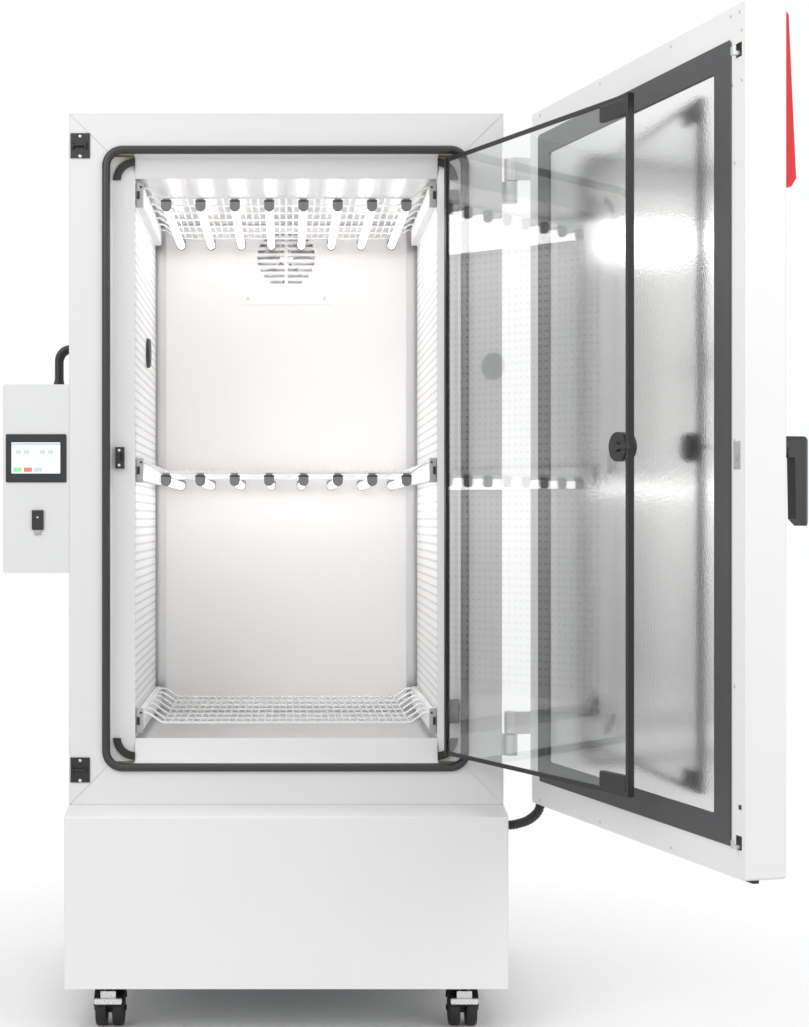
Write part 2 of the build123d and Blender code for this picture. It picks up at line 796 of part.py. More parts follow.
# Outer door shell: a folded tray, its inner face open inside a flange all round
door_half_width = half_width
door_middle_z = middle(door_bottom_z, door_top_z)
door_height = door_top_z - door_bottom_z
latch_x = -440.5
latch_slot_width = 21.0
latch_slot_height = 24.0
strike_z = (547.8, 1876.5)
handle_x = -441.0
handle_z = 1203.0
spindle_radius = 4.0


def door_block(left_x, right_x, inset):
    """Block with the door's rounded outline, set in from its outer faces."""
    radius = door_corner - inset
    with BuildPart() as block:
        with BuildSketch(front_plane(door_inner_y - inset)):
            with Locations((middle(left_x, right_x), door_middle_z)):
                Rectangle(right_x - left_x, door_height - 2 * inset)
        extrude(amount=door_thickness - 2 * inset)
        bend = chamfer if inset else fillet
        bend(block.edges().filter_by(Axis.Y), radius)
        bend(block.faces().sort_by(Axis.Y)[0].edges(), radius)
    return block.part


door_block_outside = door_block(-door_half_width, door_half_width, 0)
door_block_inside = door_block(-door_half_width + door_sheet, door_half_width - door_sheet, door_sheet)
with BuildPart() as door_shell:
    add(door_block_outside)
    add(door_block_inside, mode=Mode.SUBTRACT)
    with BuildSketch(front_plane(door_inner_y)):
        with Locations((0, door_middle_z)):
            Rectangle(2 * (door_half_width - door_flange), door_height - 2 * door_flange)
        with Locations(*[(latch_x, z - latch_slot_height / 2 + 3) for z in strike_z]):
            Rectangle(latch_slot_width, latch_slot_height)
    extrude(amount=door_sheet, mode=Mode.SUBTRACT)
    with BuildSketch(front_plane(plinth_y + door_sheet)):
        with Locations((handle_x, handle_z)):
            Circle(spindle_radius + 2)
    extrude(amount=door_sheet, mode=Mode.SUBTRACT)
save(swing_outer(door_shell.part), "door_shell")

# Door core: foam that fills the tray, clear of the latch channel at the free edge
latch_channel = 46.0
core_left_x = -door_half_width + door_sheet + latch_channel
core_inset = door_sheet + seam
door_core = door_block(core_left_x, door_half_width - core_inset, core_inset)
save(swing_outer(door_core), "door_core")

# Door inner panel of textured stainless sheet, inside the flange
panel_sheet = 0.8
panel_half_width = door_half_width - door_flange - seam
panel_half_height = door_height / 2 - door_flange - seam
with BuildPart() as door_inner_panel:
    with BuildSketch(front_plane(door_inner_y - seam / 3)):
        with Locations((0, door_middle_z)):
            Rectangle(2 * panel_half_width, 2 * panel_half_height)
    extrude(amount=panel_sheet)
save(swing_outer(door_inner_panel.part), "door_inner_panel")

# Door inner frame: the dark flat frame that the gasket closes on
inner_frame_half_width = 416.0
inner_frame_bottom_z = 529.0
inner_frame_top_z = 1891.0
inner_frame_band = 47.5
inner_frame_thickness = 3.0
inner_frame_chamfer = 1.5
inner_frame_corner = 6.0
inner_frame_height = inner_frame_top_z - inner_frame_bottom_z
with BuildPart() as door_inner_frame:
    with BuildSketch(front_plane(door_inner_y + seam / 3)):
        with Locations((0, middle(inner_frame_bottom_z, inner_frame_top_z))):
            Rectangle(2 * inner_frame_half_width, inner_frame_height)
            RectangleRounded(
                2 * (inner_frame_half_width - inner_frame_band - 11),
                inner_frame_height - 2 * inner_frame_band,
                inner_frame_corner,
                mode=Mode.SUBTRACT,
            )
    extrude(amount=-inner_frame_thickness)
    corner_edges = door_inner_frame.edges().filter_by(Axis.Y).sort_by(SortBy.DISTANCE)[-4:]
    chamfer(corner_edges, inner_frame_corner)
    chamfer(door_inner_frame.faces().sort_by(Axis.Y)[-1].edges(), inner_frame_chamfer)
save(swing_outer(door_inner_frame.part), "door_inner_frame")

# Outer hinges: a knuckle with its pin on the housing, and one with a bore on the door
knuckle_radius = 14.0
knuckle_gap = 2.0
hinge_pin_radius = 5.0
hinge_pin_length = 34.0
body_leaf_thickness = 4.0
body_leaf_length = 52.0
door_leaf_thickness = 8.0
door_leaf_length = 98.0
door_knuckle_height = 47.0
body_knuckle_height = 45.0
hinge_split_z = (623.0, 1804.0)   # middle of the gap between the two knuckles
leaf_gap = 0.2
with BuildPart() as hinge_brackets:
    for split_z in hinge_split_z:
        top_z = split_z - knuckle_gap / 2
        with BuildSketch(Plane.XY.offset(top_z)):
            with Locations((outer_axis_x, outer_axis_y)):
                Circle(knuckle_radius)
            with Locations((middle(half_width, outer_axis_x), outer_axis_y + knuckle_radius / 2)):
                Rectangle(outer_axis_x - half_width, knuckle_radius)
            leaf_y = outer_axis_y + body_leaf_length / 2
            with Locations((half_width + body_leaf_thickness / 2, leaf_y)):
                Rectangle(body_leaf_thickness, body_leaf_length)
        extrude(amount=-body_knuckle_height)
        with BuildSketch(Plane.XY.offset(top_z)):
            with Locations((outer_axis_x, outer_axis_y)):
                Circle(hinge_pin_radius)
        extrude(amount=hinge_pin_length)
save(hinge_brackets.part, "hinge_brackets")

with BuildPart() as door_hinge_leaves:
    for split_z in hinge_split_z:
        bottom_z = split_z + knuckle_gap / 2
        leaf_inner_x = door_half_width + leaf_gap
        leaf_middle_x = leaf_inner_x + door_leaf_thickness / 2
        with BuildSketch(Plane.XY.offset(bottom_z)):
            with Locations((outer_axis_x, outer_axis_y)):
                Circle(knuckle_radius)
            with Locations((leaf_middle_x, outer_axis_y - door_leaf_length / 2)):
                Rectangle(door_leaf_thickness, door_leaf_length)
            with Locations((middle(leaf_inner_x, outer_axis_x), outer_axis_y - knuckle_radius / 2)):
                Rectangle(outer_axis_x - leaf_inner_x, knuckle_radius)
        extrude(amount=door_knuckle_height)
        with BuildSketch(Plane.XY.offset(bottom_z)):
            with Locations((outer_axis_x, outer_axis_y)):
                Circle(hinge_pin_radius + shaft_clearance)
        extrude(amount=hinge_pin_length + 1, mode=Mode.SUBTRACT)
save(swing_outer(door_hinge_leaves.part), "door_hinge_leaves")

# Door handle: a round base, and a lever that hangs down from its neck
handle_base_radius = 19.0
handle_base = 6.0
neck_radius = 18.0
lever_stand_off = 47.0       # from the door's face to the lever's outer face
lever_depth = 28.0
lever_width = 27.0
lever_drop = 133.0           # from the neck's axis to the lever's end
lever_bevel = 7.0
pinion_radius = 5.7
spindle_end_y = -395.0
pinion_length = 14.0
lever_outer_y = plinth_y - lever_stand_off
lever_inner_y = lever_outer_y + lever_depth
base_outer_y = plinth_y - handle_base
with BuildPart() as handle_mount:
    with BuildSketch(front_plane(plinth_y)):
        with Locations((handle_x, handle_z)):
            Circle(handle_base_radius)
    extrude(amount=handle_base)
    chamfer(handle_mount.faces().sort_by(Axis.Y)[0].edges(), 1.5)
    with BuildSketch(front_plane(plinth_y)):
        with Locations((handle_x, handle_z)):
            Circle(spindle_radius + shaft_clearance)
    extrude(amount=handle_base, mode=Mode.SUBTRACT)
save(swing_outer(handle_mount.part), "handle_base")

lever_outline = [
    (lever_outer_y, handle_z + neck_radius),
    (lever_outer_y, handle_z - lever_drop + 5),
    (lever_outer_y + 4, handle_z - lever_drop),
    (lever_outer_y + 14, handle_z - lever_drop),
    (lever_inner_y - 2, handle_z - lever_drop + 12),
    (lever_inner_y, handle_z - neck_radius),
    (base_outer_y - seam, handle_z - neck_radius),
    (base_outer_y - seam, handle_z + neck_radius),
]
with BuildPart() as handle_lever:
    with BuildSketch(Plane.YZ.offset(handle_x)):
        with BuildLine():
            Polyline(*lever_outline, close=True)
        make_face()
    extrude(amount=lever_width / 2, both=True)
    outer_edges = handle_lever.faces().sort_by(Axis.Y)[0].edges()
    fillet(outer_edges.filter_by(Axis.X).sort_by(Axis.Z)[-1:], 8)
    chamfer(handle_lever.faces().sort_by(Axis.Y)[0].edges().filter_by(Axis.Z), lever_bevel)
    with BuildSketch(front_plane(base_outer_y - seam)):
        with Locations((handle_x, handle_z)):
            Circle(spindle_radius)
    extrude(amount=base_outer_y - seam - spindle_end_y)
    with BuildSketch(front_plane(spindle_end_y)):
        with Locations((handle_x, handle_z)):
            Circle(pinion_radius)
    extrude(amount=pinion_length)
save(swing_outer(handle_lever.part), "handle_lever")

# Latch hooks: one rod up the free edge with a hook through each slot of the door
rod_width = 8.0
rod_thickness = 4.0
rod_back_y = -398.0
rod_x = handle_x + pinion_radius + seam + rod_width / 2
hook_reach_y = fascia_y - 3.6
hook_width = 10.0
hook_bar = 6.0
hook_lip = 8.0
hook_lip_thickness = 2.0
pin_radius = 2.5
hook_top = pin_radius + 1.5  # the hook's tip rests this far below the strike's pin
with BuildPart() as latch_hooks:
    with BuildSketch(front_plane(rod_back_y)):
        low_z = strike_z[0] - hook_top - hook_lip - hook_bar
        high_z = strike_z[1] - hook_top - hook_lip
        with Locations((rod_x, middle(low_z, high_z))):
            Rectangle(rod_width, high_z - low_z)
        for z in strike_z:
            bar_left_x = latch_x - hook_width / 2
            bar_right_x = rod_x + rod_width / 2
            with Locations((middle(bar_left_x, bar_right_x), z - hook_top - hook_lip - hook_bar / 2)):
                Rectangle(bar_right_x - bar_left_x, hook_bar)
    extrude(amount=rod_thickness)
    for z in strike_z:
        tip_z = z - hook_top
        with BuildSketch(Plane.YZ.offset(latch_x - hook_width / 2)):
            with Locations((middle(rod_back_y - 1, hook_reach_y), tip_z - hook_lip - hook_bar / 2)):
                Rectangle(hook_reach_y - rod_back_y + 1, hook_bar)
            with Locations((hook_reach_y - hook_lip_thickness / 2, tip_z - (hook_lip + hook_bar) / 2)):
                Rectangle(hook_lip_thickness, hook_lip + hook_bar)
        extrude(amount=hook_width)
save(swing_outer(latch_hooks.part), "latch_hooks")

# Trim strip: a plain wedge on the door's face beside its free edge
trim_top_z = 1936.0
trim_bottom_z = 1640.0
trim_width = 60.0
trim_inset = 6.0
trim_outline = [
    (plinth_y, trim_top_z),
    (plinth_y - 6, trim_top_z - 8),
    (plinth_y - 20, trim_bottom_z + 14),
    (plinth_y - 11, trim_bottom_z),
    (plinth_y, trim_bottom_z),
]
with BuildPart() as trim_strip:
    with BuildSketch(Plane.YZ.offset(-door_half_width + trim_inset)):
        with BuildLine():
            Polyline(*trim_outline, close=True)
        make_face()
    extrude(amount=trim_width)
save(swing_outer(trim_strip.part), "trim_strip")

# Glass door, drawn closed: pane, edge profiles with the hinge knuckles, clips and latch
profile_width = 8.0
profile_depth = 13.0
profile_start = 6.0          # from the hinge axis to the hinge side profile
edge_strip_height = 8.0
edge_strip_depth = 9.0
pane_grip = 4.0              # how far the pane reaches into the profiles
pane_play = 0.1
glass_free_x = glass_axis_x - glass_width
hinge_profile_x = glass_axis_x - profile_start - profile_width / 2
free_profile_x = glass_free_x + profile_width / 2
pane_left_x = glass_free_x + profile_width - pane_grip
pane_right_x = glass_axis_x - profile_start - profile_width + pane_grip
pane_bottom_z = glass_bottom_z + edge_strip_height - pane_grip
pane_top_z = glass_top_z - edge_strip_height + pane_grip
pane_middle = (middle(pane_left_x, pane_right_x), middle(pane_bottom_z, pane_top_z))
knob_x = glass_free_x + 36.0
knob_z = 1213.0
knob_stem_radius = 6.0
pane_width = pane_right_x - pane_left_x
pane_height = pane_top_z - pane_bottom_z
with BuildPart() as glass_pane:
    with BuildSketch(front_plane(pane_y + pane_thickness / 2)):
        with Locations(pane_middle):
            Rectangle(pane_width, pane_height)
        with Locations((knob_x, knob_z)):
            Circle(knob_stem_radius + soft_clearance, mode=Mode.SUBTRACT)
    extrude(amount=pane_thickness)
save(swing_glass(glass_pane.part), "glass_pane")

glass_height = glass_top_z - glass_bottom_z
glass_middle_z = middle(glass_bottom_z, glass_top_z)
glass_hinge_z = (671.0, 1759.0)
glass_hinge_height = 50.0
glass_knuckle_radius = 5.5
glass_pin_radius = 2.5
glass_ear = 6.0
glass_knuckle_height = 36.0
strip_length = free_profile_x - hinge_profile_x
with BuildPart() as glass_door_profiles:
    for x in (hinge_profile_x, free_profile_x):
        with BuildSketch(Plane.XY.offset(glass_bottom_z)):
            with Locations((x, pane_y)):
                Rectangle(profile_width, profile_depth)
        extrude(amount=glass_height)
    for z in (glass_bottom_z + edge_strip_height / 2, glass_top_z - edge_strip_height / 2):
        with BuildSketch(Plane.YZ.offset(glass_free_x + profile_width + seam)):
            with Locations((pane_y, z)):
                Rectangle(edge_strip_depth, edge_strip_height)
        extrude(amount=hinge_profile_x - free_profile_x - profile_width - 2 * seam)
    for z in glass_hinge_z:
        knuckle_z = z - glass_hinge_height / 2 + glass_ear + soft_clearance
        with BuildSketch(Plane.XY.offset(knuckle_z)):
            with Locations((glass_axis_x, glass_axis_y)):
                Circle(glass_knuckle_radius)
            with Locations((glass_axis_x - profile_start, glass_axis_y + 2)):
                Rectangle(2 * profile_start, 6)
        extrude(amount=glass_knuckle_height)
    with BuildSketch(front_plane(pane_y + pane_thickness / 2 + pane_play)):
        with Locations(pane_middle):
            Rectangle(pane_width + 2 * pane_play, pane_height + 2 * pane_play)
    extrude(amount=pane_thickness + 2 * pane_play, mode=Mode.SUBTRACT)
    for z in glass_hinge_z:
        with BuildSketch(Plane.XY.offset(z - glass_hinge_height)):
            with Locations((glass_axis_x, glass_axis_y)):
                Circle(glass_pin_radius + shaft_clearance)
        extrude(amount=2 * glass_hinge_height, mode=Mode.SUBTRACT)
save(swing_glass(glass_door_profiles.part), "glass_door_profiles")

# Clips that hold the pane at the free edge, above and below
clip_length = 85.0
clip_height = 30.0
clip_depth = 14.0
clip_x = glass_free_x + profile_width + seam + clip_length / 2
clip_offset = edge_strip_height + seam + clip_height / 2
with BuildPart() as glass_door_fittings:
    with BuildSketch(front_plane(pane_y + clip_depth / 2)):
        with Locations((clip_x, glass_bottom_z + clip_offset), (clip_x, glass_top_z - clip_offset)):
            RectangleRounded(clip_length, clip_height, 4)
    extrude(amount=clip_depth)
    chamfer(glass_door_fittings.faces().sort_by(Axis.Y)[-2:].edges(), 1.5)
    chamfer(glass_door_fittings.faces().sort_by(Axis.Y)[:2].edges(), 1.5)
    with BuildSketch(front_plane(pane_y + pane_thickness / 2 + pane_play)):
        with Locations((0, glass_middle_z)):
            Rectangle(2 * glass_width, glass_height)
    extrude(amount=pane_thickness + 2 * pane_play, mode=Mode.SUBTRACT)
save(swing_glass(glass_door_fittings.part), "glass_door_fittings")

# Latch of the glass door: a round knob in front, its tongue behind the free profile
knob_radius = 27.0
knob_depth = 18.0
knob_flange = 3.0
tongue_reach = 46.0
tongue_height = 9.0
tongue_thickness = 3.0
tongue_front_y = pane_y + profile_depth / 2 + 0.6
pane_front_y = pane_y - pane_thickness / 2
pane_back_y = pane_y + pane_thickness / 2
with BuildPart() as glass_door_knob:
    with BuildSketch(front_plane(pane_front_y - soft_clearance)):
        with Locations((knob_x, knob_z)):
            Circle(knob_radius)
    extrude(amount=knob_depth)
    chamfer(glass_door_knob.faces().sort_by(Axis.Y)[0].edges(), 3)
    with BuildSketch(front_plane(pane_back_y + soft_clearance)):
        with Locations((knob_x, knob_z)):
            Circle(knob_stem_radius)
    extrude(amount=pane_thickness + 2 * soft_clearance)
    with BuildSketch(front_plane(pane_back_y + soft_clearance)):
        with Locations((knob_x, knob_z)):
            Circle(knob_radius)
    extrude(amount=-knob_flange)
    with BuildSketch(front_plane(tongue_front_y)):
        with Locations((knob_x, knob_z)):
            Circle(knob_stem_radius + 3)
        with Locations((knob_x - tongue_reach / 2, knob_z)):
            Rectangle(tongue_reach, tongue_height)
    extrude(amount=-tongue_thickness)
    with BuildSketch(front_plane(pane_back_y + soft_clearance + knob_flange)):
        with Locations((knob_x, knob_z)):
            Circle(knob_stem_radius + 3)
    extrude(amount=-(tongue_front_y - pane_back_y - soft_clearance - knob_flange))
save(swing_glass(glass_door_knob.part), "glass_door_knob")

# Frame fittings: strike plates, keeper of the glass door and its two hinge brackets
strike_width = 41.0
strike_height = 53.0
strike_x = -438.7
strike_plate = 3.0
strike_ear = 3.0
strike_ear_height = 14.0
strike_gap = 24.0
strike_reach = 11.0
keeper_left_x = -366.0
keeper_right_x = -347.5
keeper_bottom_z = 1190.0
keeper_top_z = 1236.0
keeper_front_y = tongue_front_y - 4.5
keeper_lip = 3.5
keeper_slot_y = tongue_front_y + tongue_thickness + 1.0
keeper_slot_x = glass_free_x - (tongue_reach - 36.0) - 1.5
notch_bottom_z = knob_z - tongue_height / 2 - 1.0
notch_top_z = knob_z + tongue_height / 2 + 4.0
bracket_left_x = glass_axis_x + glass_knuckle_radius + 1.0
bracket_right_x = strip_outer_half_width - strip_drop_run - 1.0
ear_front_y = glass_axis_y - glass_knuckle_radius


def strip_face_y(x):
    """Depth of an upright strip's sloping face at a distance from the middle."""
    rise = band_depth - strip_lip - strip_drop
    return opening_y - rise * (abs(x) - chamber_half_width) / (band_width - strip_drop_run)


def strip_block_outline(left_x, right_x, front_y):
    """Plan of a block that sits on the sloping face of an upright strip."""
    return [
        (left_x, front_y),
        (right_x, front_y),
        (right_x, strip_face_y(right_x) - seam),
        (left_x, strip_face_y(left_x) - seam),
    ]


with BuildPart() as frame_fittings:
    for z in strike_z:
        with BuildSketch(front_plane(fascia_y)):
            with Locations((strike_x, z)):
                Rectangle(strike_width, strike_height)
        extrude(amount=strike_plate)
        with BuildSketch(front_plane(fascia_y)):
            for side in (-1, 1):
                with Locations((latch_x + side * (strike_gap + strike_ear) / 2, z)):
                    Rectangle(strike_ear, strike_ear_height)
        extrude(amount=strike_reach)
        with BuildSketch(Plane.YZ.offset(latch_x - strike_gap / 2)):
            with Locations((fascia_y - strike_reach + pin_radius, z)):
                Circle(pin_radius)
        extrude(amount=strike_gap)
    with BuildSketch(Plane.XY.offset(keeper_bottom_z)):
        with BuildLine():
            Polyline(*strip_block_outline(keeper_left_x, keeper_right_x, keeper_front_y), close=True)
        make_face()
    extrude(amount=keeper_top_z - keeper_bottom_z)
    with BuildSketch(Plane.XY.offset(keeper_bottom_z)):
        with Locations((middle(keeper_slot_x, 0), middle(keeper_front_y + keeper_lip, keeper_slot_y))):
            Rectangle(-keeper_slot_x, keeper_slot_y - keeper_front_y - keeper_lip)
    extrude(amount=notch_top_z - keeper_bottom_z, mode=Mode.SUBTRACT)
    with BuildSketch(Plane.XY.offset(notch_bottom_z)):
        with Locations((middle(keeper_slot_x, 0), middle(keeper_front_y - 1, keeper_slot_y))):
            Rectangle(-keeper_slot_x, keeper_slot_y - keeper_front_y + 1)
    extrude(amount=notch_top_z - notch_bottom_z, mode=Mode.SUBTRACT)
    for z in glass_hinge_z:
        low_z = z - glass_hinge_height / 2
        with BuildSketch(Plane.XY.offset(low_z)):
            with BuildLine():
                Polyline(*strip_block_outline(bracket_left_x, bracket_right_x, ear_front_y), close=True)
            make_face()
        extrude(amount=glass_hinge_height)
        with BuildSketch(Plane.XY.offset(low_z)):
            with Locations((glass_axis_x, glass_axis_y)):
                Circle(glass_knuckle_radius)
            with Locations((middle(glass_axis_x, bracket_right_x), glass_axis_y)):
                Rectangle(bracket_right_x - glass_axis_x, 2 * glass_knuckle_radius)
        extrude(amount=glass_ear)
        with BuildSketch(Plane.XY.offset(low_z)):
            with Locations((glass_axis_x, glass_axis_y)):
                Circle(glass_pin_radius)
        extrude(amount=glass_ear + glass_knuckle_height)
save(frame_fittings.part, "frame_fittings")

# Controller on the left side: rounded case, display, socket flap and cables
case_left_x = -604.0
case_right_x = -half_width - seam
case_bottom_z = 967.0
case_top_z = 1368.5
case_depth = 160.0
case_wall = 3.0
case_corner = 7.0
case_middle_x = middle(case_left_x, case_right_x)
bezel_left_x = -597.0
bezel_right_x = -468.0
bezel_bottom_z = 1160.0
bezel_top_z = 1262.5
bezel_thickness = 2.5
screen_width = 103.5
screen_height = 66.0
screen_x = -533.0
screen_z = 1212.0
screen_recess = 1.0
flap_x = -529.0
flap_width = 24.5
flap_top_z = 1101.0
flap_bottom_z = 1059.0
flap_thickness = 5.0
flap_barrel = 3.0
flap_pin_radius = 1.25
socket_width = 16.0
socket_height = 24.0
cable_radius = 7.0
cable_x = -490.0
cable_rise = 53.0
cable_y = (-322.0, -300.0, -278.0)
with BuildPart() as controller_box:
    with BuildSketch(front_plane(fascia_y)):
        with Locations((case_middle_x, middle(case_bottom_z, case_top_z))):
            Rectangle(case_right_x - case_left_x, case_top_z - case_bottom_z)
    extrude(amount=-case_depth)
    left_edges = controller_box.faces().sort_by(Axis.X)[0].edges()
    fillet(left_edges, case_corner)
    offset(amount=-case_wall, openings=controller_box.faces().sort_by(Axis.X)[-1:])
    with BuildSketch(front_plane(fascia_y)):
        with Locations((flap_x, middle(flap_bottom_z, flap_top_z))):
            Rectangle(socket_width, socket_height)
    extrude(amount=-case_wall, mode=Mode.SUBTRACT)
save(controller_box.part, "controller_box")

with BuildPart() as display_bezel:
    with BuildSketch(front_plane(fascia_y)):
        with Locations((middle(bezel_left_x, bezel_right_x), middle(bezel_bottom_z, bezel_top_z))):
            RectangleRounded(bezel_right_x - bezel_left_x, bezel_top_z - bezel_bottom_z, 3)
    extrude(amount=bezel_thickness)
    with BuildSketch(front_plane(fascia_y - bezel_thickness)):
        with Locations((screen_x, screen_z)):
            Rectangle(screen_width, screen_height)
    extrude(amount=-screen_recess, mode=Mode.SUBTRACT)
save(display_bezel.part, "display_bezel")

with BuildPart() as display_screen:
    with BuildSketch(front_plane(fascia_y - bezel_thickness + screen_recess)):
        with Locations((screen_x, screen_z)):
            Rectangle(screen_width - seam, screen_height - seam)
    extrude(amount=screen_recess - 0.2)
save(display_screen.part, "display_screen")

flap_axis_z = flap_top_z - flap_barrel
flap_axis_y = fascia_y - soft_clearance - flap_barrel
with BuildPart() as socket_cover:
    with BuildSketch(front_plane(fascia_y - soft_clearance)):
        with Locations((flap_x, middle(flap_bottom_z, flap_axis_z))):
            Rectangle(flap_width, flap_axis_z - flap_bottom_z)
    extrude(amount=flap_thickness)
    fillet(socket_cover.faces().sort_by(Axis.Y)[0].edges().filter_by(Axis.X).sort_by(Axis.Z)[:1], 2)
    with BuildSketch(Plane.YZ.offset(flap_x - flap_width / 2)):
        with Locations((flap_axis_y, flap_axis_z)):
            Circle(flap_barrel)
    extrude(amount=flap_width)
save(socket_cover.part, "socket_cover")


def controller_cable(y):
    """Cable that rises from the case and turns into the side of the housing."""
    bend = abs(cable_x) - half_width - seam
    start = (cable_x, y, case_top_z + seam)
    elbow = (cable_x, y, case_top_z + cable_rise)
    finish = (cable_x + bend, y, case_top_z + cable_rise + bend)
    with BuildPart() as cable:
        with BuildLine() as route:
            Line(start, elbow)
            TangentArc(elbow, finish, tangent=(0, 0, 1))
        with BuildSketch(Plane(origin=start, z_dir=(0, 0, 1))):
            RegularPolygon(cable_radius, 10)
        sweep(path=route.line)
    return cable.part


with BuildPart() as controller_cables:
    for y in cable_y:
        add(controller_cable(y))
save(controller_cables.part, "controller_cables")

# Machine compartment: compressor on its foot plate
tray_z = underside_z + base_sheet + seam
compressor_place = (-150.0, 150.0)
compressor_radius = 75.0
compressor_height = 205.0
compressor_foot = (190.0, 130.0)
foot_sheet = 3.0
pipe_radius = 5.0
with BuildPart() as compressor:
    with BuildSketch(Plane.XY.offset(tray_z)):
        with Locations(compressor_place):
            Circle(compressor_radius)
    extrude(amount=compressor_height)
    chamfer(compressor.faces().sort_by(Axis.Z)[-1].edges(), compressor_radius / 3)
    with BuildSketch(Plane.XY.offset(tray_z)):
        with Locations(compressor_place):
            RectangleRounded(*compressor_foot, 10)
    extrude(amount=foot_sheet)
    with BuildSketch(Plane.XY.offset(tray_z + compressor_height / 2)):
        with Locations((compressor_place[0], compressor_place[1] + compressor_radius)):
            Circle(pipe_radius)
    extrude(amount=compressor_height / 2 + 20)
save(compressor.part, "compressor")

# Condenser: fins on tubes between two end plates, with a shroud and the fan's motor
condenser_left_x = 30.0
condenser_right_x = 310.0
condenser_top_z = 420.0
condenser_front_y = 378.0
condenser_back_y = 430.0
condenser_fins = 16
condenser_tubes = 5
condenser_plate = 3.0
plate_front_y = 330.0
condenser_fan_z = 268.0
shroud_hole = 114.0
shroud_sheet = 2.0
arm_height = 16.0
arm_sheet = 4.0
fan_motor_radius = 26.0
fan_motor_front_y = 316.0
fan_motor_back_y = 344.0
fan_shaft_radius = 4.0
fan_bore_depth = 14.0
condenser_x = middle(condenser_left_x, condenser_right_x)
condenser_width = condenser_right_x - condenser_left_x
condenser_height = condenser_top_z - tray_z
condenser_z = middle(tray_z, condenser_top_z)
with BuildPart() as condenser:
    with BuildSketch(Plane.XY.offset(tray_z)):
        with Locations((condenser_x, middle(condenser_front_y, condenser_back_y))):
            with GridLocations(condenser_width / (condenser_fins - 1), 1, condenser_fins, 1):
                Rectangle(coil_fin, condenser_back_y - condenser_front_y)
            Rectangle(condenser_width, coil_core)
    extrude(amount=condenser_height)
    with BuildSketch(Plane.YZ.offset(condenser_left_x - coil_stub)):
        with Locations((middle(condenser_front_y, condenser_back_y), condenser_z)):
            with GridLocations(1, condenser_height / condenser_tubes, 1, condenser_tubes):
                RegularPolygon(coil_tube_radius, 8)
    extrude(amount=coil_stub)
    with BuildSketch(front_plane(plate_front_y)):
        with Locations((condenser_x, condenser_z)):
            with GridLocations(condenser_width + condenser_plate, 1, 2, 1):
                Rectangle(condenser_plate, condenser_height)
    extrude(amount=plate_front_y - condenser_back_y)
    with BuildSketch(front_plane(condenser_front_y)):
        with Locations((condenser_x, condenser_z)):
            Rectangle(condenser_width + condenser_plate, condenser_height)
        with Locations((condenser_x, condenser_fan_z)):
            Circle(shroud_hole, mode=Mode.SUBTRACT)
    extrude(amount=-shroud_sheet)
    with BuildSketch(front_plane(plate_front_y + arm_sheet)):
        with Locations((condenser_x, condenser_fan_z)):
            Rectangle(condenser_width + condenser_plate, arm_height)
    extrude(amount=arm_sheet)
    with BuildSketch(front_plane(fan_motor_back_y)):
        with Locations((condenser_x, condenser_fan_z)):
            Circle(fan_motor_radius)
    extrude(amount=fan_motor_back_y - fan_motor_front_y)
    with BuildSketch(front_plane(fan_motor_back_y)):
        with Locations((condenser_x, condenser_fan_z)):
            Circle(fan_shaft_radius + shaft_clearance)
    extrude(amount=fan_bore_depth, mode=Mode.SUBTRACT)
save(condenser.part, "condenser")

# Condenser fan: five pitched blades on a hub
cooling_fan_radius = 107.0
cooling_hub_radius = 25.0
cooling_hub_front_y = 350.0
cooling_hub_back_y = 370.0
cooling_blades = 5
cooling_chord = 60.0
cooling_blade = 2.0
cooling_pitch = 28.0
blade_reach = cooling_fan_radius - cooling_hub_radius + 3
with BuildPart() as condenser_fan:
    with BuildSketch(front_plane(cooling_hub_back_y)):
        with Locations((condenser_x, condenser_fan_z)):
            Circle(cooling_hub_radius)
    extrude(amount=cooling_hub_back_y - cooling_hub_front_y)
    with BuildSketch(front_plane(cooling_hub_front_y)):
        with Locations((condenser_x, condenser_fan_z)):
            Circle(fan_shaft_radius)
    extrude(amount=fan_bore_depth - 1 + cooling_hub_front_y - fan_motor_back_y)
    hub_plane = front_plane(middle(cooling_hub_front_y, cooling_hub_back_y))
    with Locations(Location(hub_plane) * Pos(condenser_x, condenser_fan_z, 0)):
        with PolarLocations(cooling_fan_radius - blade_reach / 2, cooling_blades):
            Box(blade_reach, cooling_chord, cooling_blade, rotation=(cooling_pitch, 0, 0))
save(condenser_fan.part, "condenser_fan")

# Electronics box behind the plinth, and the two connections at the back
electronics_x = (-430.0, -330.0)
electronics_y = (-200.0, 100.0)
electronics_top_z = 380.0
with BuildPart() as electronics_box:
    with BuildSketch(Plane.XY.offset(tray_z)):
        with Locations((middle(*electronics_x), middle(*electronics_y))):
            Rectangle(electronics_x[1] - electronics_x[0], electronics_y[1] - electronics_y[0])
    extrude(amount=electronics_top_z - tray_z)
    chamfer(electronics_box.edges().filter_by(Axis.Z), 3)
save(electronics_box.part, "electronics_box")

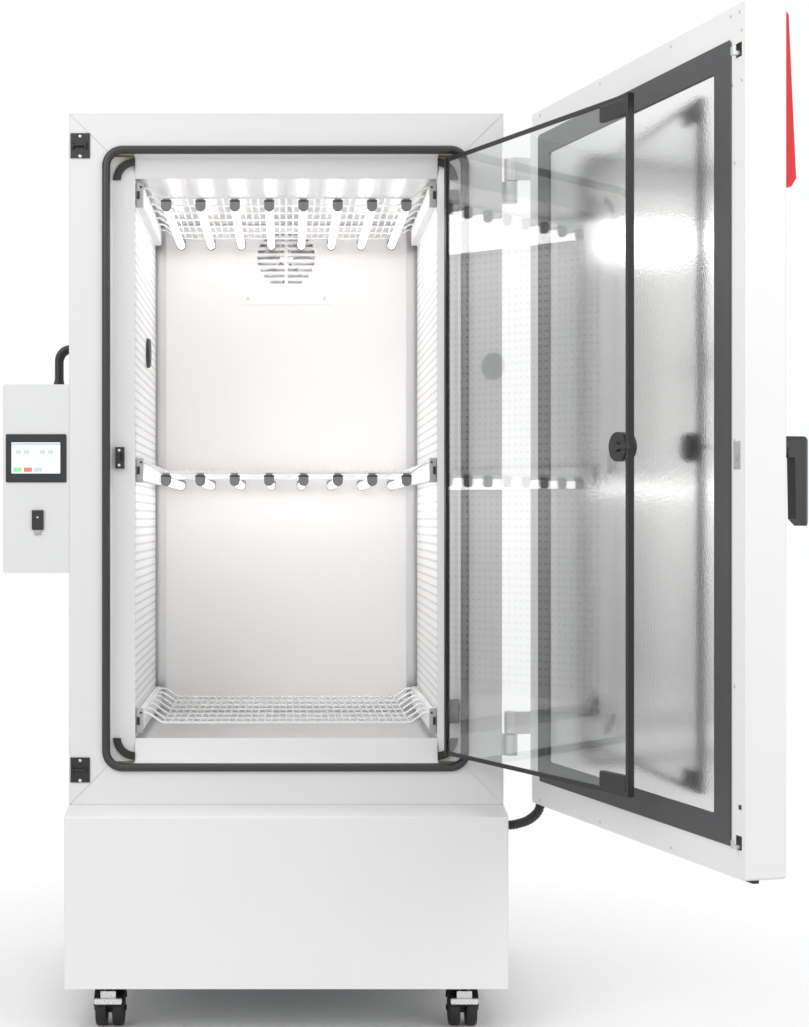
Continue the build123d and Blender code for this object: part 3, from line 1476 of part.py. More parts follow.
nozzle_radius = 8.0
nozzle_bore = 6.0
nozzle_seat = 20.0           # length that a hose is pushed over
nozzle_neck = 1.0            # how far the neck behind the seat is set in
nozzle_end_y = back_y + 25.0
nozzle_start_y = back_y - 20.0
flange_radius = 14.0
flange_thickness = 3.0
gland_end_y = 466.0
with BuildPart() as service_connections:
    for x, z, end_y in ((drain_x, drain_z, nozzle_end_y), (power_x, power_z, gland_end_y)):
        with BuildSketch(front_plane(nozzle_start_y)):
            with Locations((x, z)):
                Circle(nozzle_radius - nozzle_neck)
        extrude(amount=nozzle_start_y - end_y)
        for flange_y in (back_y - skin - seam - flange_thickness, back_y + seam):
            with BuildSketch(front_plane(flange_y)):
                with Locations((x, z)):
                    RegularPolygon(flange_radius, 6)
            extrude(amount=-flange_thickness)
    with BuildSketch(front_plane(nozzle_end_y)):
        with Locations((drain_x, drain_z)):
            Circle(nozzle_radius)
    extrude(amount=nozzle_seat)
    with BuildSketch(front_plane(nozzle_start_y)):
        with Locations((drain_x, drain_z)):
            Circle(nozzle_bore)
    extrude(amount=nozzle_start_y - nozzle_end_y, mode=Mode.SUBTRACT)
save(service_connections.part, "service_connections")

# Casters: a swivelling fork with its hood and axle, a pair of wheels, and a brake pedal
wheel_radius = 37.5
wheel_inner_x = 6.0
wheel_width = 24.0
axle_radius = 4.0
axle_cap_radius = 6.5
axle_cap_x = 34.5
fork_head_radius = 24.0
fork_head = 8.7
fork_web = 10.0
hood_inner_radius = wheel_radius + 2.0
hood_sheet = 3.0
hood_half_width = 32.0
hood_cut_z = 50.0
fork_top_z = underside_z - caster_plate_thickness - seam
fork_head_z = fork_top_z - fork_head
pedal_pivot_y = -20.0        # from the swivel axis
pedal_pivot_z = 80.0
pedal_pin_radius = 2.5
pedal_cheek_x = 7.0
pedal_cheek = 3.0
pedal_tab_width = 32.0
pedal_bar_width = 58.0
pedal_back_y = -31.0
pedal_tab_y = -34.0
pedal_bar_y = -40.0
pedal_bar_bottom_z = 59.0
pedal_bar_top_z = 70.0
pedal_tab_top_z = 85.0


def caster_fork(x, y, braked):
    """Fork: stem, head, central web with the axle, hood, and the brake's pin."""
    axle_y = y + caster_trail
    web_outline = [
        (y - 18, fork_head_z + 1),
        (y + caster_trail, fork_head_z + 1),
        (axle_y + 9, wheel_radius + 12),
        (axle_y + 9, wheel_radius - 9),
        (axle_y - 9, wheel_radius - 9),
        (y - 12, hood_cut_z + 8),
    ]
    with BuildPart() as fork:
        with BuildSketch(Plane.YZ.offset(x - hood_half_width)):
            with Locations((axle_y, wheel_radius)):
                Circle(hood_inner_radius + hood_sheet)
                Circle(hood_inner_radius, mode=Mode.SUBTRACT)
            with Locations((axle_y, hood_cut_z - wheel_radius)):
                Rectangle(4 * wheel_radius, 2 * wheel_radius, mode=Mode.SUBTRACT)
        extrude(amount=2 * hood_half_width)
        with BuildSketch(Plane.YZ.offset(x - fork_web / 2)):
            with BuildLine():
                Polyline(*web_outline, close=True)
            make_face()
            if braked:
                with Locations((y + pedal_pivot_y, pedal_pivot_z)):
                    Circle(pedal_pin_radius + 2.5)
                with Locations((y + pedal_pivot_y / 2, pedal_pivot_z)):
                    Rectangle(-pedal_pivot_y, 2 * pedal_pin_radius + 5)
        extrude(amount=fork_web)
        with BuildSketch(Plane.XY.offset(fork_head_z)):
            with Locations((x, y)):
                RegularPolygon(fork_head_radius, 12)
        extrude(amount=fork_head)
        with BuildSketch(Plane.XY.offset(fork_top_z)):
            with Locations((x, y)):
                Circle(stem_radius)
        extrude(amount=stem_length - 0.5)
        with BuildSketch(Plane.YZ.offset(x - axle_cap_x)):
            with Locations((axle_y, wheel_radius)):
                Circle(axle_radius)
        extrude(amount=2 * axle_cap_x)
        cap_thickness_x = axle_cap_x - wheel_inner_x - wheel_width - 0.5
        for cap_x in (x - axle_cap_x, x + axle_cap_x - cap_thickness_x):
            with BuildSketch(Plane.YZ.offset(cap_x)):
                with Locations((axle_y, wheel_radius)):
                    RegularPolygon(axle_cap_radius, 6)
            extrude(amount=cap_thickness_x)
        if braked:
            with BuildSketch(Plane.YZ.offset(x - pedal_cheek_x - pedal_cheek - 1)):
                with Locations((y + pedal_pivot_y, pedal_pivot_z)):
                    Circle(pedal_pin_radius)
            extrude(amount=2 * (pedal_cheek_x + pedal_cheek + 1))
    return fork.part


def caster_wheels(x, y):
    """Pair of wheels that run on the fork's axle."""
    with BuildPart() as wheels:
        for start_x in (x - wheel_inner_x - wheel_width, x + wheel_inner_x):
            with BuildSketch(Plane.YZ.offset(start_x)):
                with Locations((y + caster_trail, wheel_radius)):
                    Circle(wheel_radius)
            extrude(amount=wheel_width)
        with BuildSketch(Plane.YZ.offset(x - wheel_inner_x - wheel_width)):
            with Locations((y + caster_trail, wheel_radius)):
                Circle(axle_radius + shaft_clearance)
        extrude(amount=2 * (wheel_inner_x + wheel_width), mode=Mode.SUBTRACT)
    return wheels.part


def brake_pedal(x, y):
    """T-shaped pedal on two cheeks that turn on the fork's pin."""
    with BuildPart() as pedal:
        for start_x in (x - pedal_cheek_x - pedal_cheek, x + pedal_cheek_x):
            with BuildSketch(Plane.YZ.offset(start_x)):
                with Locations((y + pedal_pivot_y, pedal_pivot_z)):
                    Circle(pedal_pin_radius + 2.5)
                with Locations((y + middle(pedal_pivot_y, pedal_tab_y), pedal_pivot_z)):
                    Rectangle(pedal_pivot_y - pedal_tab_y, 2 * pedal_pin_radius + 5)
                with Locations((y + pedal_pivot_y, pedal_pivot_z)):
                    Circle(pedal_pin_radius + shaft_clearance, mode=Mode.SUBTRACT)
            extrude(amount=pedal_cheek)
        with BuildSketch(front_plane(y + pedal_back_y)):
            with Locations((x, middle(pedal_bar_bottom_z, pedal_tab_top_z))):
                Rectangle(pedal_tab_width, pedal_tab_top_z - pedal_bar_bottom_z)
        extrude(amount=pedal_back_y - pedal_tab_y)
        with BuildSketch(front_plane(y + pedal_back_y)):
            with Locations((x, middle(pedal_bar_bottom_z, pedal_bar_top_z))):
                RectangleRounded(pedal_bar_width, pedal_bar_top_z - pedal_bar_bottom_z, 3)
        extrude(amount=pedal_back_y - pedal_bar_y)
    return pedal.part


for place, (x, y) in caster_places.items():
    braked = place.startswith("front")
    save(caster_fork(x, y, braked), f"caster_fork_{place}")
    save(caster_wheels(x, y), f"caster_wheels_{place}")
    if braked:
        save(brake_pedal(x, y), f"brake_pedal_{place}")

# Door conduit: a hose from the side of the housing to the end of the outer door
conduit_radius = 10.5
conduit_end_y = -411.0       # where it enters the closed door
conduit_end_z = 495.0
conduit_last_run = 35.0
conduit_start = (half_width + seam, -322.0, 425.0)


def outer_at_rest(x, y, z):
    """Where a point of the closed outer door lies once the door is at rest."""
    angle = math.radians(outer_rest_angle)
    run = x - outer_axis_x
    rise = y - outer_axis_y
    return (
        outer_axis_x + run * math.cos(angle) - rise * math.sin(angle),
        outer_axis_y + run * math.sin(angle) + rise * math.cos(angle),
        z,
    )


def bend_radii(route):
    """Largest arc that the two runs beside each inner point leave room for."""
    radii = []
    for before, corner, after in zip(route, route[1:], route[2:]):
        run_in = Vector(*corner) - Vector(*before)
        run_out = Vector(*after) - Vector(*corner)
        half_turn = math.radians(run_in.get_angle(run_out) / 2)
        radii.append(0.45 * min(run_in.length, run_out.length) / math.tan(half_turn))
    return radii


conduit_face_x = door_half_width + seam
conduit_route = [
    conduit_start,
    (487.0, -322.0, 425.0),
    (520.0, -317.0, 433.0),
    (546.0, -298.0, 450.0),
    outer_at_rest(conduit_face_x + conduit_last_run, conduit_end_y, conduit_end_z),
    outer_at_rest(conduit_face_x, conduit_end_y, conduit_end_z),
]
conduit_bends = bend_radii(conduit_route)
print("conduit bend radii", [round(radius, 1) for radius in conduit_bends])
with BuildPart() as door_conduit:
    with BuildLine() as conduit_path:
        FilletPolyline(*conduit_route, radius=conduit_bends)
    with BuildSketch(Plane(origin=conduit_start, z_dir=(1, 0, 0))):
        Circle(conduit_radius)
    sweep(path=conduit_path.line)
print("conduit volume", door_conduit.part.volume)
print("section by length", math.pi * conduit_radius**2 * conduit_path.wires()[0].length)
save(door_conduit.part, "door_conduit")
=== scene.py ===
# %% [markdown]
# # A climate cabinet with its doors open
# The CAD model gives every piece its place and size. Here each visible piece gets its finish,
# and the pieces that CAD keeps plain, such as the gasket, the wire racks and the wheels, are
# built again with the rounding and detail of the real ones. Lengths below are in millimetres,
# as on a drawing, and `metres` turns them into Blender's unit.

# %% Load the frame and keep the CAD box
import math

import bpy
import bmesh
from mathutils import Matrix, Vector


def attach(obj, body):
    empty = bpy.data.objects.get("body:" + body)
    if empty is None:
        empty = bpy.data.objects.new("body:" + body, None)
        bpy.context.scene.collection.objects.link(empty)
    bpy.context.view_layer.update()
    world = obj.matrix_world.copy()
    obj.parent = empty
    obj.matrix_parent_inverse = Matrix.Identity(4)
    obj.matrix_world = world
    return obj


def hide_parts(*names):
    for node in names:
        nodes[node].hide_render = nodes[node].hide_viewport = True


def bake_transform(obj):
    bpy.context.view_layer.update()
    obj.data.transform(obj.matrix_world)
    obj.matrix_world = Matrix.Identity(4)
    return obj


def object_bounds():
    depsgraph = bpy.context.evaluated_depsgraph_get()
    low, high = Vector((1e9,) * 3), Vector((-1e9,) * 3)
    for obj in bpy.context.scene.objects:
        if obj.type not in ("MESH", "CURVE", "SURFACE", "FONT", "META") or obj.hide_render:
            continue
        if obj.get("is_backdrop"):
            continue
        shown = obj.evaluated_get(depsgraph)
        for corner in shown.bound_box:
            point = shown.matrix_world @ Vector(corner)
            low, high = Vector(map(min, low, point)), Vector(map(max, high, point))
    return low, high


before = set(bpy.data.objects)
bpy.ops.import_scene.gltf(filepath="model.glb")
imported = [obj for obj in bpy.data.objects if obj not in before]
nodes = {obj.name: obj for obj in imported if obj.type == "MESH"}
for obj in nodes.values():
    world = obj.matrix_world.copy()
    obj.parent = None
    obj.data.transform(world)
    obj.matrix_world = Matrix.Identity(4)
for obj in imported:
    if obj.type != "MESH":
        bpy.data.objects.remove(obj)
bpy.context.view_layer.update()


def metres(*lengths):
    return Vector([length / 1000 for length in lengths])


# %% [markdown]
# The photograph is taken from straight ahead, from a little above half the cabinet's height.
# The cabinet stands left of the middle of the picture with its sides upright, so the camera
# looks straight along +Y and the frame is shifted sideways, as with a view camera.

# %% Camera
picture_width = 809
picture_height = 1027
focal_pixels = 1902.0
axis_pixel = (286.3, 520.0)
camera_data = bpy.data.cameras.new("studio_camera")
camera_data.sensor_width = 36.0
camera_data.lens = focal_pixels / picture_height * 36.0
camera_data.shift_x = (picture_width / 2 - axis_pixel[0]) / picture_height
camera_data.shift_y = (axis_pixel[1] - picture_height / 2) / picture_height
camera_data.clip_end = 50
camera = bpy.data.objects.new("studio_camera", camera_data)
camera.location = metres(0, -4406, 1079.8)
camera.rotation_euler = (math.radians(90), 0, 0)
bpy.context.scene.collection.objects.link(camera)
bpy.context.scene.camera = camera
print("lens", round(camera_data.lens, 2))

# %% [markdown]
# What several finishes share is made once, as a node group with named inputs and outputs. A
# copy of the nodes in each material would do too, but then every later change is made many
# times. Two helpers keep the groups short to write.

# %% Helpers for node groups


def group_with(name, inputs, outputs):
    """Empty shader group with the named sockets and its two end nodes."""
    group = bpy.data.node_groups.new(name, "ShaderNodeTree")
    for label, kind, value in inputs:
        socket = group.interface.new_socket(name=label, in_out="INPUT", socket_type=kind)
        socket.default_value = value
    for label, kind in outputs:
        group.interface.new_socket(name=label, in_out="OUTPUT", socket_type=kind)
    start = group.nodes.new("NodeGroupInput")
    end = group.nodes.new("NodeGroupOutput")
    return group, start, end


def math_node(group, operation, first, second=None, clamp=False):
    """One Math node fed by sockets or plain numbers; returns its output."""
    node = group.nodes.new("ShaderNodeMath")
    node.operation = operation
    node.use_clamp = clamp
    for place, value in enumerate((first, second)):
        if value is None:
            continue
        if isinstance(value, (int, float)):
            node.inputs[place].default_value = value
        else:
            group.links.new(value, node.inputs[place])
    return node.outputs[0]


print("helpers:", group_with.__name__, math_node.__name__)

# %% [markdown]
# No painted, moulded or rolled surface is quite even. The grain group has a fine noise that
# shifts the roughness a little and gives a height for the bump, and a wide one that shifts the
# colour. Powder coat, moulded plastic and rubber differ only in the values that they pass in.

# %% Node group: surface grain


def make_grain_group():
    group, start, end = group_with(
        "surface_grain",
        [
            ("Colour", "NodeSocketColor", (0.8, 0.8, 0.8, 1)),
            ("Variation", "NodeSocketFloat", 0.03),
            ("Roughness", "NodeSocketFloat", 0.4),
            ("Roughness spread", "NodeSocketFloat", 0.06),
            ("Scale", "NodeSocketFloat", 400.0),
            ("Stretch", "NodeSocketVector", (1, 1, 1)),
        ],
        [
            ("Colour", "NodeSocketColor"),
            ("Roughness", "NodeSocketFloat"),
            ("Height", "NodeSocketFloat"),
        ],
    )
    place = group.nodes.new("ShaderNodeTexCoord")
    stretched = group.nodes.new("ShaderNodeVectorMath")
    stretched.operation = "MULTIPLY"
    group.links.new(place.outputs["Object"], stretched.inputs[0])
    group.links.new(start.outputs["Stretch"], stretched.inputs[1])
    fine = group.nodes.new("ShaderNodeTexNoise")
    fine.inputs["Detail"].default_value = 3.0
    group.links.new(stretched.outputs[0], fine.inputs["Vector"])
    group.links.new(start.outputs["Scale"], fine.inputs["Scale"])
    cloud = group.nodes.new("ShaderNodeTexNoise")
    cloud.inputs["Scale"].default_value = 5.0
    cloud.inputs["Detail"].default_value = 2.0
    group.links.new(place.outputs["Object"], cloud.inputs["Vector"])
    swing = math_node(group, "SUBTRACT", cloud.outputs["Fac"], 0.5)
    drift = math_node(group, "MULTIPLY", swing, start.outputs["Variation"])
    level = math_node(group, "ADD", drift, 1.0)
    tint = group.nodes.new("ShaderNodeVectorMath")
    tint.operation = "SCALE"
    group.links.new(start.outputs["Colour"], tint.inputs[0])
    group.links.new(level, tint.inputs["Scale"])
    group.links.new(tint.outputs[0], end.inputs["Colour"])
    speck = math_node(group, "SUBTRACT", fine.outputs["Fac"], 0.5)
    spread = math_node(group, "MULTIPLY", speck, start.outputs["Roughness spread"])
    rough = math_node(group, "ADD", spread, start.outputs["Roughness"], clamp=True)
    group.links.new(rough, end.inputs["Roughness"])
    group.links.new(fine.outputs["Fac"], end.inputs["Height"])
    return group


surface_grain = make_grain_group()
print("group", surface_grain.name)

# %% [markdown]
# A finish is a Principled shader with the grain group in front of it. Plain numbers, such as
# coat weight or metallic, are set on the shader's own sockets.

# %% Finishes made with the grain group


def new_finish(name):
    """New material with its node tree and its Principled shader."""
    material = bpy.data.materials.new(name)
    material.use_nodes = True
    tree = material.node_tree
    return material, tree, tree.nodes["Principled BSDF"]


def grained(name, colour, roughness, scale=400.0, bump=0.05, depth=0.0004, variation=0.03,
            spread=0.06, stretch=(1, 1, 1), metallic=0.0, coat=0.0):
    """Principled finish whose colour, roughness and bump come from the grain group."""
    material, tree, shader = new_finish(name)
    grain = tree.nodes.new("ShaderNodeGroup")
    grain.node_tree = surface_grain
    grain.inputs["Colour"].default_value = (*colour, 1)
    grain.inputs["Variation"].default_value = variation
    grain.inputs["Roughness"].default_value = roughness
    grain.inputs["Roughness spread"].default_value = spread
    grain.inputs["Scale"].default_value = scale
    grain.inputs["Stretch"].default_value = stretch
    tree.links.new(grain.outputs["Colour"], shader.inputs["Base Color"])
    tree.links.new(grain.outputs["Roughness"], shader.inputs["Roughness"])
    ripple = tree.nodes.new("ShaderNodeBump")
    ripple.inputs["Strength"].default_value = bump
    ripple.inputs["Distance"].default_value = depth
    tree.links.new(grain.outputs["Height"], ripple.inputs["Height"])
    tree.links.new(ripple.outputs["Normal"], shader.inputs["Normal"])
    shader.inputs["Metallic"].default_value = metallic
    shader.inputs["Coat Weight"].default_value = coat
    return material


print("helpers:", new_finish.__name__, grained.__name__)

# %% [markdown]
# The cabinet is powder coated sheet steel, white all over, with stainless steel inside, and
# its fittings are black or grey plastic. The noise is finer on paint than on metal, and on the
# liner it is squeezed along the depth, as brushed sheet looks.

# %% The cabinet's finishes
powder_white = grained("powder_white", (0.86, 0.86, 0.86), 0.42, scale=900, bump=0.12)
fascia_white = grained("fascia_white", (0.80, 0.80, 0.80), 0.45, scale=900, bump=0.12)
strip_plastic = grained("strip_plastic", (0.82, 0.82, 0.82), 0.35, scale=300)
wall_white = grained("wall_white", (0.86, 0.845, 0.845), 0.5, scale=500)
zinc_steel = grained("zinc_steel", (0.62, 0.63, 0.64), 0.38, scale=60, variation=0.12, metallic=1.0)
liner_steel = grained("liner_steel", (0.80, 0.80, 0.80), 0.30, scale=90, stretch=(1, 12, 1),
                      metallic=1.0)
shelf_chrome = grained("shelf_chrome", (0.80, 0.80, 0.80), 0.30, scale=120, metallic=0.45)
rail_white = grained("rail_white", (0.86, 0.86, 0.86), 0.35, scale=300)
bracket_grey = grained("bracket_grey", (0.44, 0.435, 0.43), 0.42, scale=500)
cap_grey = grained("cap_grey", (0.20, 0.20, 0.205), 0.45, scale=500)
dark_frame = grained("dark_frame", (0.045, 0.047, 0.05), 0.42, scale=700, bump=0.15)
seal_rubber = grained("seal_rubber", (0.018, 0.018, 0.02), 0.48, scale=600, bump=0.1)
# The bulb finish is a little paler than the seal: a painted highlight for the gasket's crown.
seal_crown_highlight = grained("seal_crown_highlight", (0.030, 0.031, 0.033), 0.34, scale=600, bump=0.08)
black_plastic = grained("black_plastic", (0.012, 0.012, 0.014), 0.40, scale=700, bump=0.12)
black_metal = grained("black_metal", (0.015, 0.015, 0.017), 0.35, scale=500)
handle_black = grained("handle_black", (0.012, 0.012, 0.013), 0.45, scale=800, bump=0.12)
wheel_rubber = grained("wheel_rubber", (0.014, 0.014, 0.015), 0.55, scale=500, bump=0.15)
case_grey = grained("case_grey", (0.78, 0.785, 0.79), 0.40, scale=800, bump=0.12)
bezel_black = grained("bezel_black", (0.022, 0.023, 0.026), 0.30, scale=800, bump=0.06)
pedal_steel = grained("pedal_steel", (0.80, 0.80, 0.80), 0.28, scale=200, metallic=0.6)
trim_red = grained("trim_red", (0.66, 0.003, 0.006), 0.5, scale=700)
foam_cream = grained("foam_cream", (0.80, 0.74, 0.55), 0.85, scale=250, bump=0.4)
silicone_black = grained("silicone_black", (0.03, 0.03, 0.03), 0.5, scale=300)
print("finishes", len(bpy.data.materials))

# %% [markdown]
# The lamps are lit tubes. An area lamp beside each would light the chamber but leave the tube
# dark, so the tubes' own finish gives off the light. The pane is clear glass with a faint
# green tint: full transmission with no roughness keeps what is behind it sharp. The display
# glows softly, as a screen does in a bright room.

# %% Lamps, pane and display
lamp_glow, _, lamp_shader = new_finish("lamp_glow")
lamp_shader.inputs["Base Color"].default_value = (1, 1, 1, 1)
lamp_shader.inputs["Roughness"].default_value = 0.25
lamp_shader.inputs["Emission Color"].default_value = (1.0, 0.985, 0.97, 1)
lamp_shader.inputs["Emission Strength"].default_value = 2.9

pane_glass, _, pane_shader = new_finish("pane_glass")
pane_shader.inputs["Base Color"].default_value = (0.97, 0.985, 0.98, 1)
pane_shader.inputs["Roughness"].default_value = 0.0
pane_shader.inputs["Transmission Weight"].default_value = 1.0
pane_shader.inputs["IOR"].default_value = 1.65


def glowing(name, colour, strength):
    """Finish that gives off light of its own colour."""
    material, _, shader = new_finish(name)
    shader.inputs["Base Color"].default_value = (*colour, 1)
    shader.inputs["Roughness"].default_value = 0.2
    shader.inputs["Emission Color"].default_value = (*colour, 1)
    shader.inputs["Emission Strength"].default_value = strength
    return material


screen_pale = glowing("screen_pale", (0.80, 0.90, 0.95), 0.75)
mark_red = glowing("mark_red", (0.80, 0.16, 0.12), 0.6)
mark_green = glowing("mark_green", (0.20, 0.62, 0.25), 0.6)
mark_grey = glowing("mark_grey", (0.45, 0.52, 0.56), 0.5)
print("lamp strength", lamp_shader.inputs["Emission Strength"].default_value)

# %% [markdown]
# The outer door's inner panel is stucco embossed stainless steel: a leather-like relief that
# breaks every reflection into small bright spots. Voronoi cells with softened borders give
# the relief as a bump, because it is far too fine to model.

# %% Stucco steel
stucco_steel, stucco_tree, stucco_shader = new_finish("stucco_steel")
stucco_place = stucco_tree.nodes.new("ShaderNodeTexCoord")
stucco_cells = stucco_tree.nodes.new("ShaderNodeTexVoronoi")
stucco_cells.feature = "SMOOTH_F1"
stucco_cells.inputs["Scale"].default_value = 210.0
stucco_cells.inputs["Smoothness"].default_value = 0.6
stucco_bump = stucco_tree.nodes.new("ShaderNodeBump")
stucco_bump.inputs["Strength"].default_value = 0.22
stucco_bump.inputs["Distance"].default_value = 0.0005
stucco_tree.links.new(stucco_place.outputs["Object"], stucco_cells.inputs["Vector"])
stucco_tree.links.new(stucco_cells.outputs["Distance"], stucco_bump.inputs["Height"])
stucco_tree.links.new(stucco_bump.outputs["Normal"], stucco_shader.inputs["Normal"])
stucco_shader.inputs["Base Color"].default_value = (0.90, 0.90, 0.90, 1)
stucco_shader.inputs["Metallic"].default_value = 1.0
stucco_shader.inputs["Roughness"].default_value = 0.16
print("stucco nodes", len(stucco_tree.nodes))

# %% [markdown]
# The side air panels are sheet steel with a regular grid of punched holes. Thousands of real
# holes would make the mesh heavy, and behind them is only shade, so a mask of round spots
# paints that shade into the colour as dark grey and dents the bump.

# %% Punched sheet


def make_hole_group():
    """Mask of a square grid of round holes on the YZ plane."""
    group, start, end = group_with(
        "punched_holes",
        [("Pitch", "NodeSocketFloat", 0.02), ("Radius", "NodeSocketFloat", 0.003)],
        [("Mask", "NodeSocketFloat")],
    )
    place = group.nodes.new("ShaderNodeTexCoord")
    split = group.nodes.new("ShaderNodeSeparateXYZ")
    group.links.new(place.outputs["Object"], split.inputs[0])
    squares = []
    for letter in ("Y", "Z"):
        steps = math_node(group, "DIVIDE", split.outputs[letter], start.outputs["Pitch"])
        part = math_node(group, "FRACT", steps)
        centred = math_node(group, "SUBTRACT", part, 0.5)
        length = math_node(group, "MULTIPLY", centred, start.outputs["Pitch"])
        squares.append(math_node(group, "POWER", math_node(group, "ABSOLUTE", length), 2.0))
    distance = math_node(group, "SQRT", math_node(group, "ADD", squares[0], squares[1]))
    mask = math_node(group, "LESS_THAN", distance, start.outputs["Radius"])
    group.links.new(mask, end.inputs["Mask"])
    return group


punched_holes = make_hole_group()
punched_white, punched_tree, punched_shader = new_finish("punched_white")
holes = punched_tree.nodes.new("ShaderNodeGroup")
holes.node_tree = punched_holes
holes.inputs["Pitch"].default_value = 0.0185
holes.inputs["Radius"].default_value = 0.0032
hole_mix = punched_tree.nodes.new("ShaderNodeMix")
hole_mix.data_type = "RGBA"
sheet_socket, hole_shade_socket, mixed_socket = 6, 7, 2   # the Mix node's colour sockets
hole_mix.inputs[sheet_socket].default_value = (0.86, 0.86, 0.86, 1)
# The holes' dark grey is painted shade, standing in for the dark behind them.
hole_mix.inputs[hole_shade_socket].default_value = (0.20, 0.20, 0.20, 1)
punched_tree.links.new(holes.outputs["Mask"], hole_mix.inputs[0])
punched_tree.links.new(hole_mix.outputs[mixed_socket], punched_shader.inputs["Base Color"])
hole_bump = punched_tree.nodes.new("ShaderNodeBump")
hole_bump.inputs["Strength"].default_value = 0.6
hole_bump.inputs["Distance"].default_value = 0.001
hole_bump.invert = True
punched_tree.links.new(holes.outputs["Mask"], hole_bump.inputs["Height"])
punched_tree.links.new(hole_bump.outputs["Normal"], punched_shader.inputs["Normal"])
punched_shader.inputs["Roughness"].default_value = 0.45
print("groups", [group.name for group in bpy.data.node_groups])

# %% [markdown]
# Housings, sheets, brackets and doors have the right shape in CAD, so they keep their mesh and
# only change material. The list goes by finish, which shows at a glance what is made of what.

# %% Finishes of the CAD pieces that stay
node_finishes = {
    powder_white: ["outer_panels", "plinth_cover", "door_shell", "hinge_brackets",
                   "door_hinge_leaves"],
    fascia_white: ["front_fascia"],
    strip_plastic: ["frame_strips"],
    wall_white: ["rear_air_panel", "fan_guard"],
    punched_white: ["side_air_panels"],
    zinc_steel: ["base_frame", "rear_panel", "circulation_motor", "latch_hooks",
                 "electronics_box", "condenser", "evaporator"],
    liner_steel: ["inner_liner", "port_tube", "circulation_fan"],
    foam_cream: ["insulation", "door_core"],
    seal_rubber: ["door_gasket"],
    shelf_chrome: ["upper_rack", "middle_rack", "lower_rack"],
    lamp_glow: ["upper_tubes", "middle_tubes"],
    cap_grey: ["upper_caps", "middle_caps"],
    silicone_black: ["port_plug"],
    stucco_steel: ["door_inner_panel"],
    dark_frame: ["door_inner_frame"],
    handle_black: ["handle_base", "handle_lever"],
    trim_red: ["trim_strip"],
    pane_glass: ["glass_pane"],
    black_plastic: ["glass_door_profiles", "glass_door_fittings", "glass_door_knob",
                    "condenser_fan", "service_connections", "controller_cables", "door_conduit"],
    black_metal: ["frame_fittings", "compressor"]
    + [n for n in nodes if n.startswith("caster_fork")],
    case_grey: ["controller_box"],
    bezel_black: ["display_bezel", "socket_cover"],
    screen_pale: ["display_screen"],
    wheel_rubber: [n for n in nodes if n.startswith("caster_wheels")],
    pedal_steel: [n for n in nodes if n.startswith("brake_pedal")],
}
painted = set()
for finish, names in node_finishes.items():
    for name in names:
        slots = nodes[name].data.materials
        if not slots:
            slots.append(finish)
        for index in range(len(slots)):
            slots[index] = finish
        painted.add(name)
print("without a finish:", sorted(set(nodes) - painted))

# %% [markdown]
# The outer door rests wide open. Its small parts are easier to draw on the closed door, where
# everything is square to the axes, and one matrix then swings them about the hinge line.

# %% The open door
outer_axis = (484.0, -336.0)
outer_rest_angle = 105.0


def swung(axis, degrees):
    """Turn about a door's upright hinge line."""
    line = metres(axis[0], axis[1], 0)
    turn = Matrix.Rotation(math.radians(degrees), 4, "Z")
    return Matrix.Translation(line) @ turn @ Matrix.Translation(-line)


outer_rest = swung(outer_axis, outer_rest_angle)
print("outer door turned", round(math.degrees(outer_rest.to_euler().z), 1), "degrees")

# %% [markdown]
# The pieces that are built again are drawn with bmesh. Modifiers could do much of it, but a
# mesh drawn in code has exact sizes and repeats easily. A block has softened edges, because no
# real edge is sharp. What is drawn takes one of the piece's finishes by its number.

# %% Blocks


def paint_new(bm, index):
    """Give every face that has no finish yet the piece's finish of this number."""
    painted = bm.faces.layers.int.get("painted") or bm.faces.layers.int.new("painted")
    for face in bm.faces:
        if not face[painted]:
            face[painted] = 1
            face.material_index = index


def block(bm, low, high, round_by=0.0, index=0):
    """Block between two corners with softened edges."""
    corners = bmesh.ops.create_cube(bm, size=1.0)["verts"]
    for corner in corners:
        corner.co = metres(*[high[i] if corner.co[i] > 0 else low[i] for i in range(3)])
    if round_by:
        edges = list({edge for corner in corners for edge in corner.link_edges})
        bmesh.ops.bevel(
            bm, geom=edges, offset=round_by / 1000, segments=2, affect="EDGES", profile=0.5
        )
    paint_new(bm, index)


print("helpers:", paint_new.__name__, block.__name__)

# %% [markdown]
# Screws, wheels and collars are round, so a profile is turned about an axis, as on a lathe.
# Wires, bars and cables are rods along a line of points. A bevelled curve makes rods too, but
# as a mesh they share one piece with the blocks and may change their thickness on the way.

# %% Turned shapes and rods


def lathe(bm, centre, axis, profile, sides=32, index=0):
    """Turn a profile of (distance along the axis, radius) about an axis through the centre."""
    axis = Vector(axis).normalized()
    across = axis.orthogonal().normalized()
    up = axis.cross(across)
    rings = []
    for distance, radius in profile:
        ring = []
        for step in range(sides):
            angle = 2 * math.pi * step / sides
            spoke = across * math.cos(angle) + up * math.sin(angle)
            ring.append(bm.verts.new(metres(*centre) + (axis * distance + spoke * radius) / 1000))
        rings.append(ring)
    bridge(bm, rings, closed=True)
    for ring in (rings[0], rings[-1]):
        bm.faces.new(ring)
    paint_new(bm, index)


def bridge(bm, rings, closed):
    """Quads between neighbouring rings of the same number of points."""
    for first, second in zip(rings, rings[1:]):
        count = len(first)
        for step in range(count if closed else count - 1):
            after = (step + 1) % count
            bm.faces.new((first[step], first[after], second[after], second[step]))


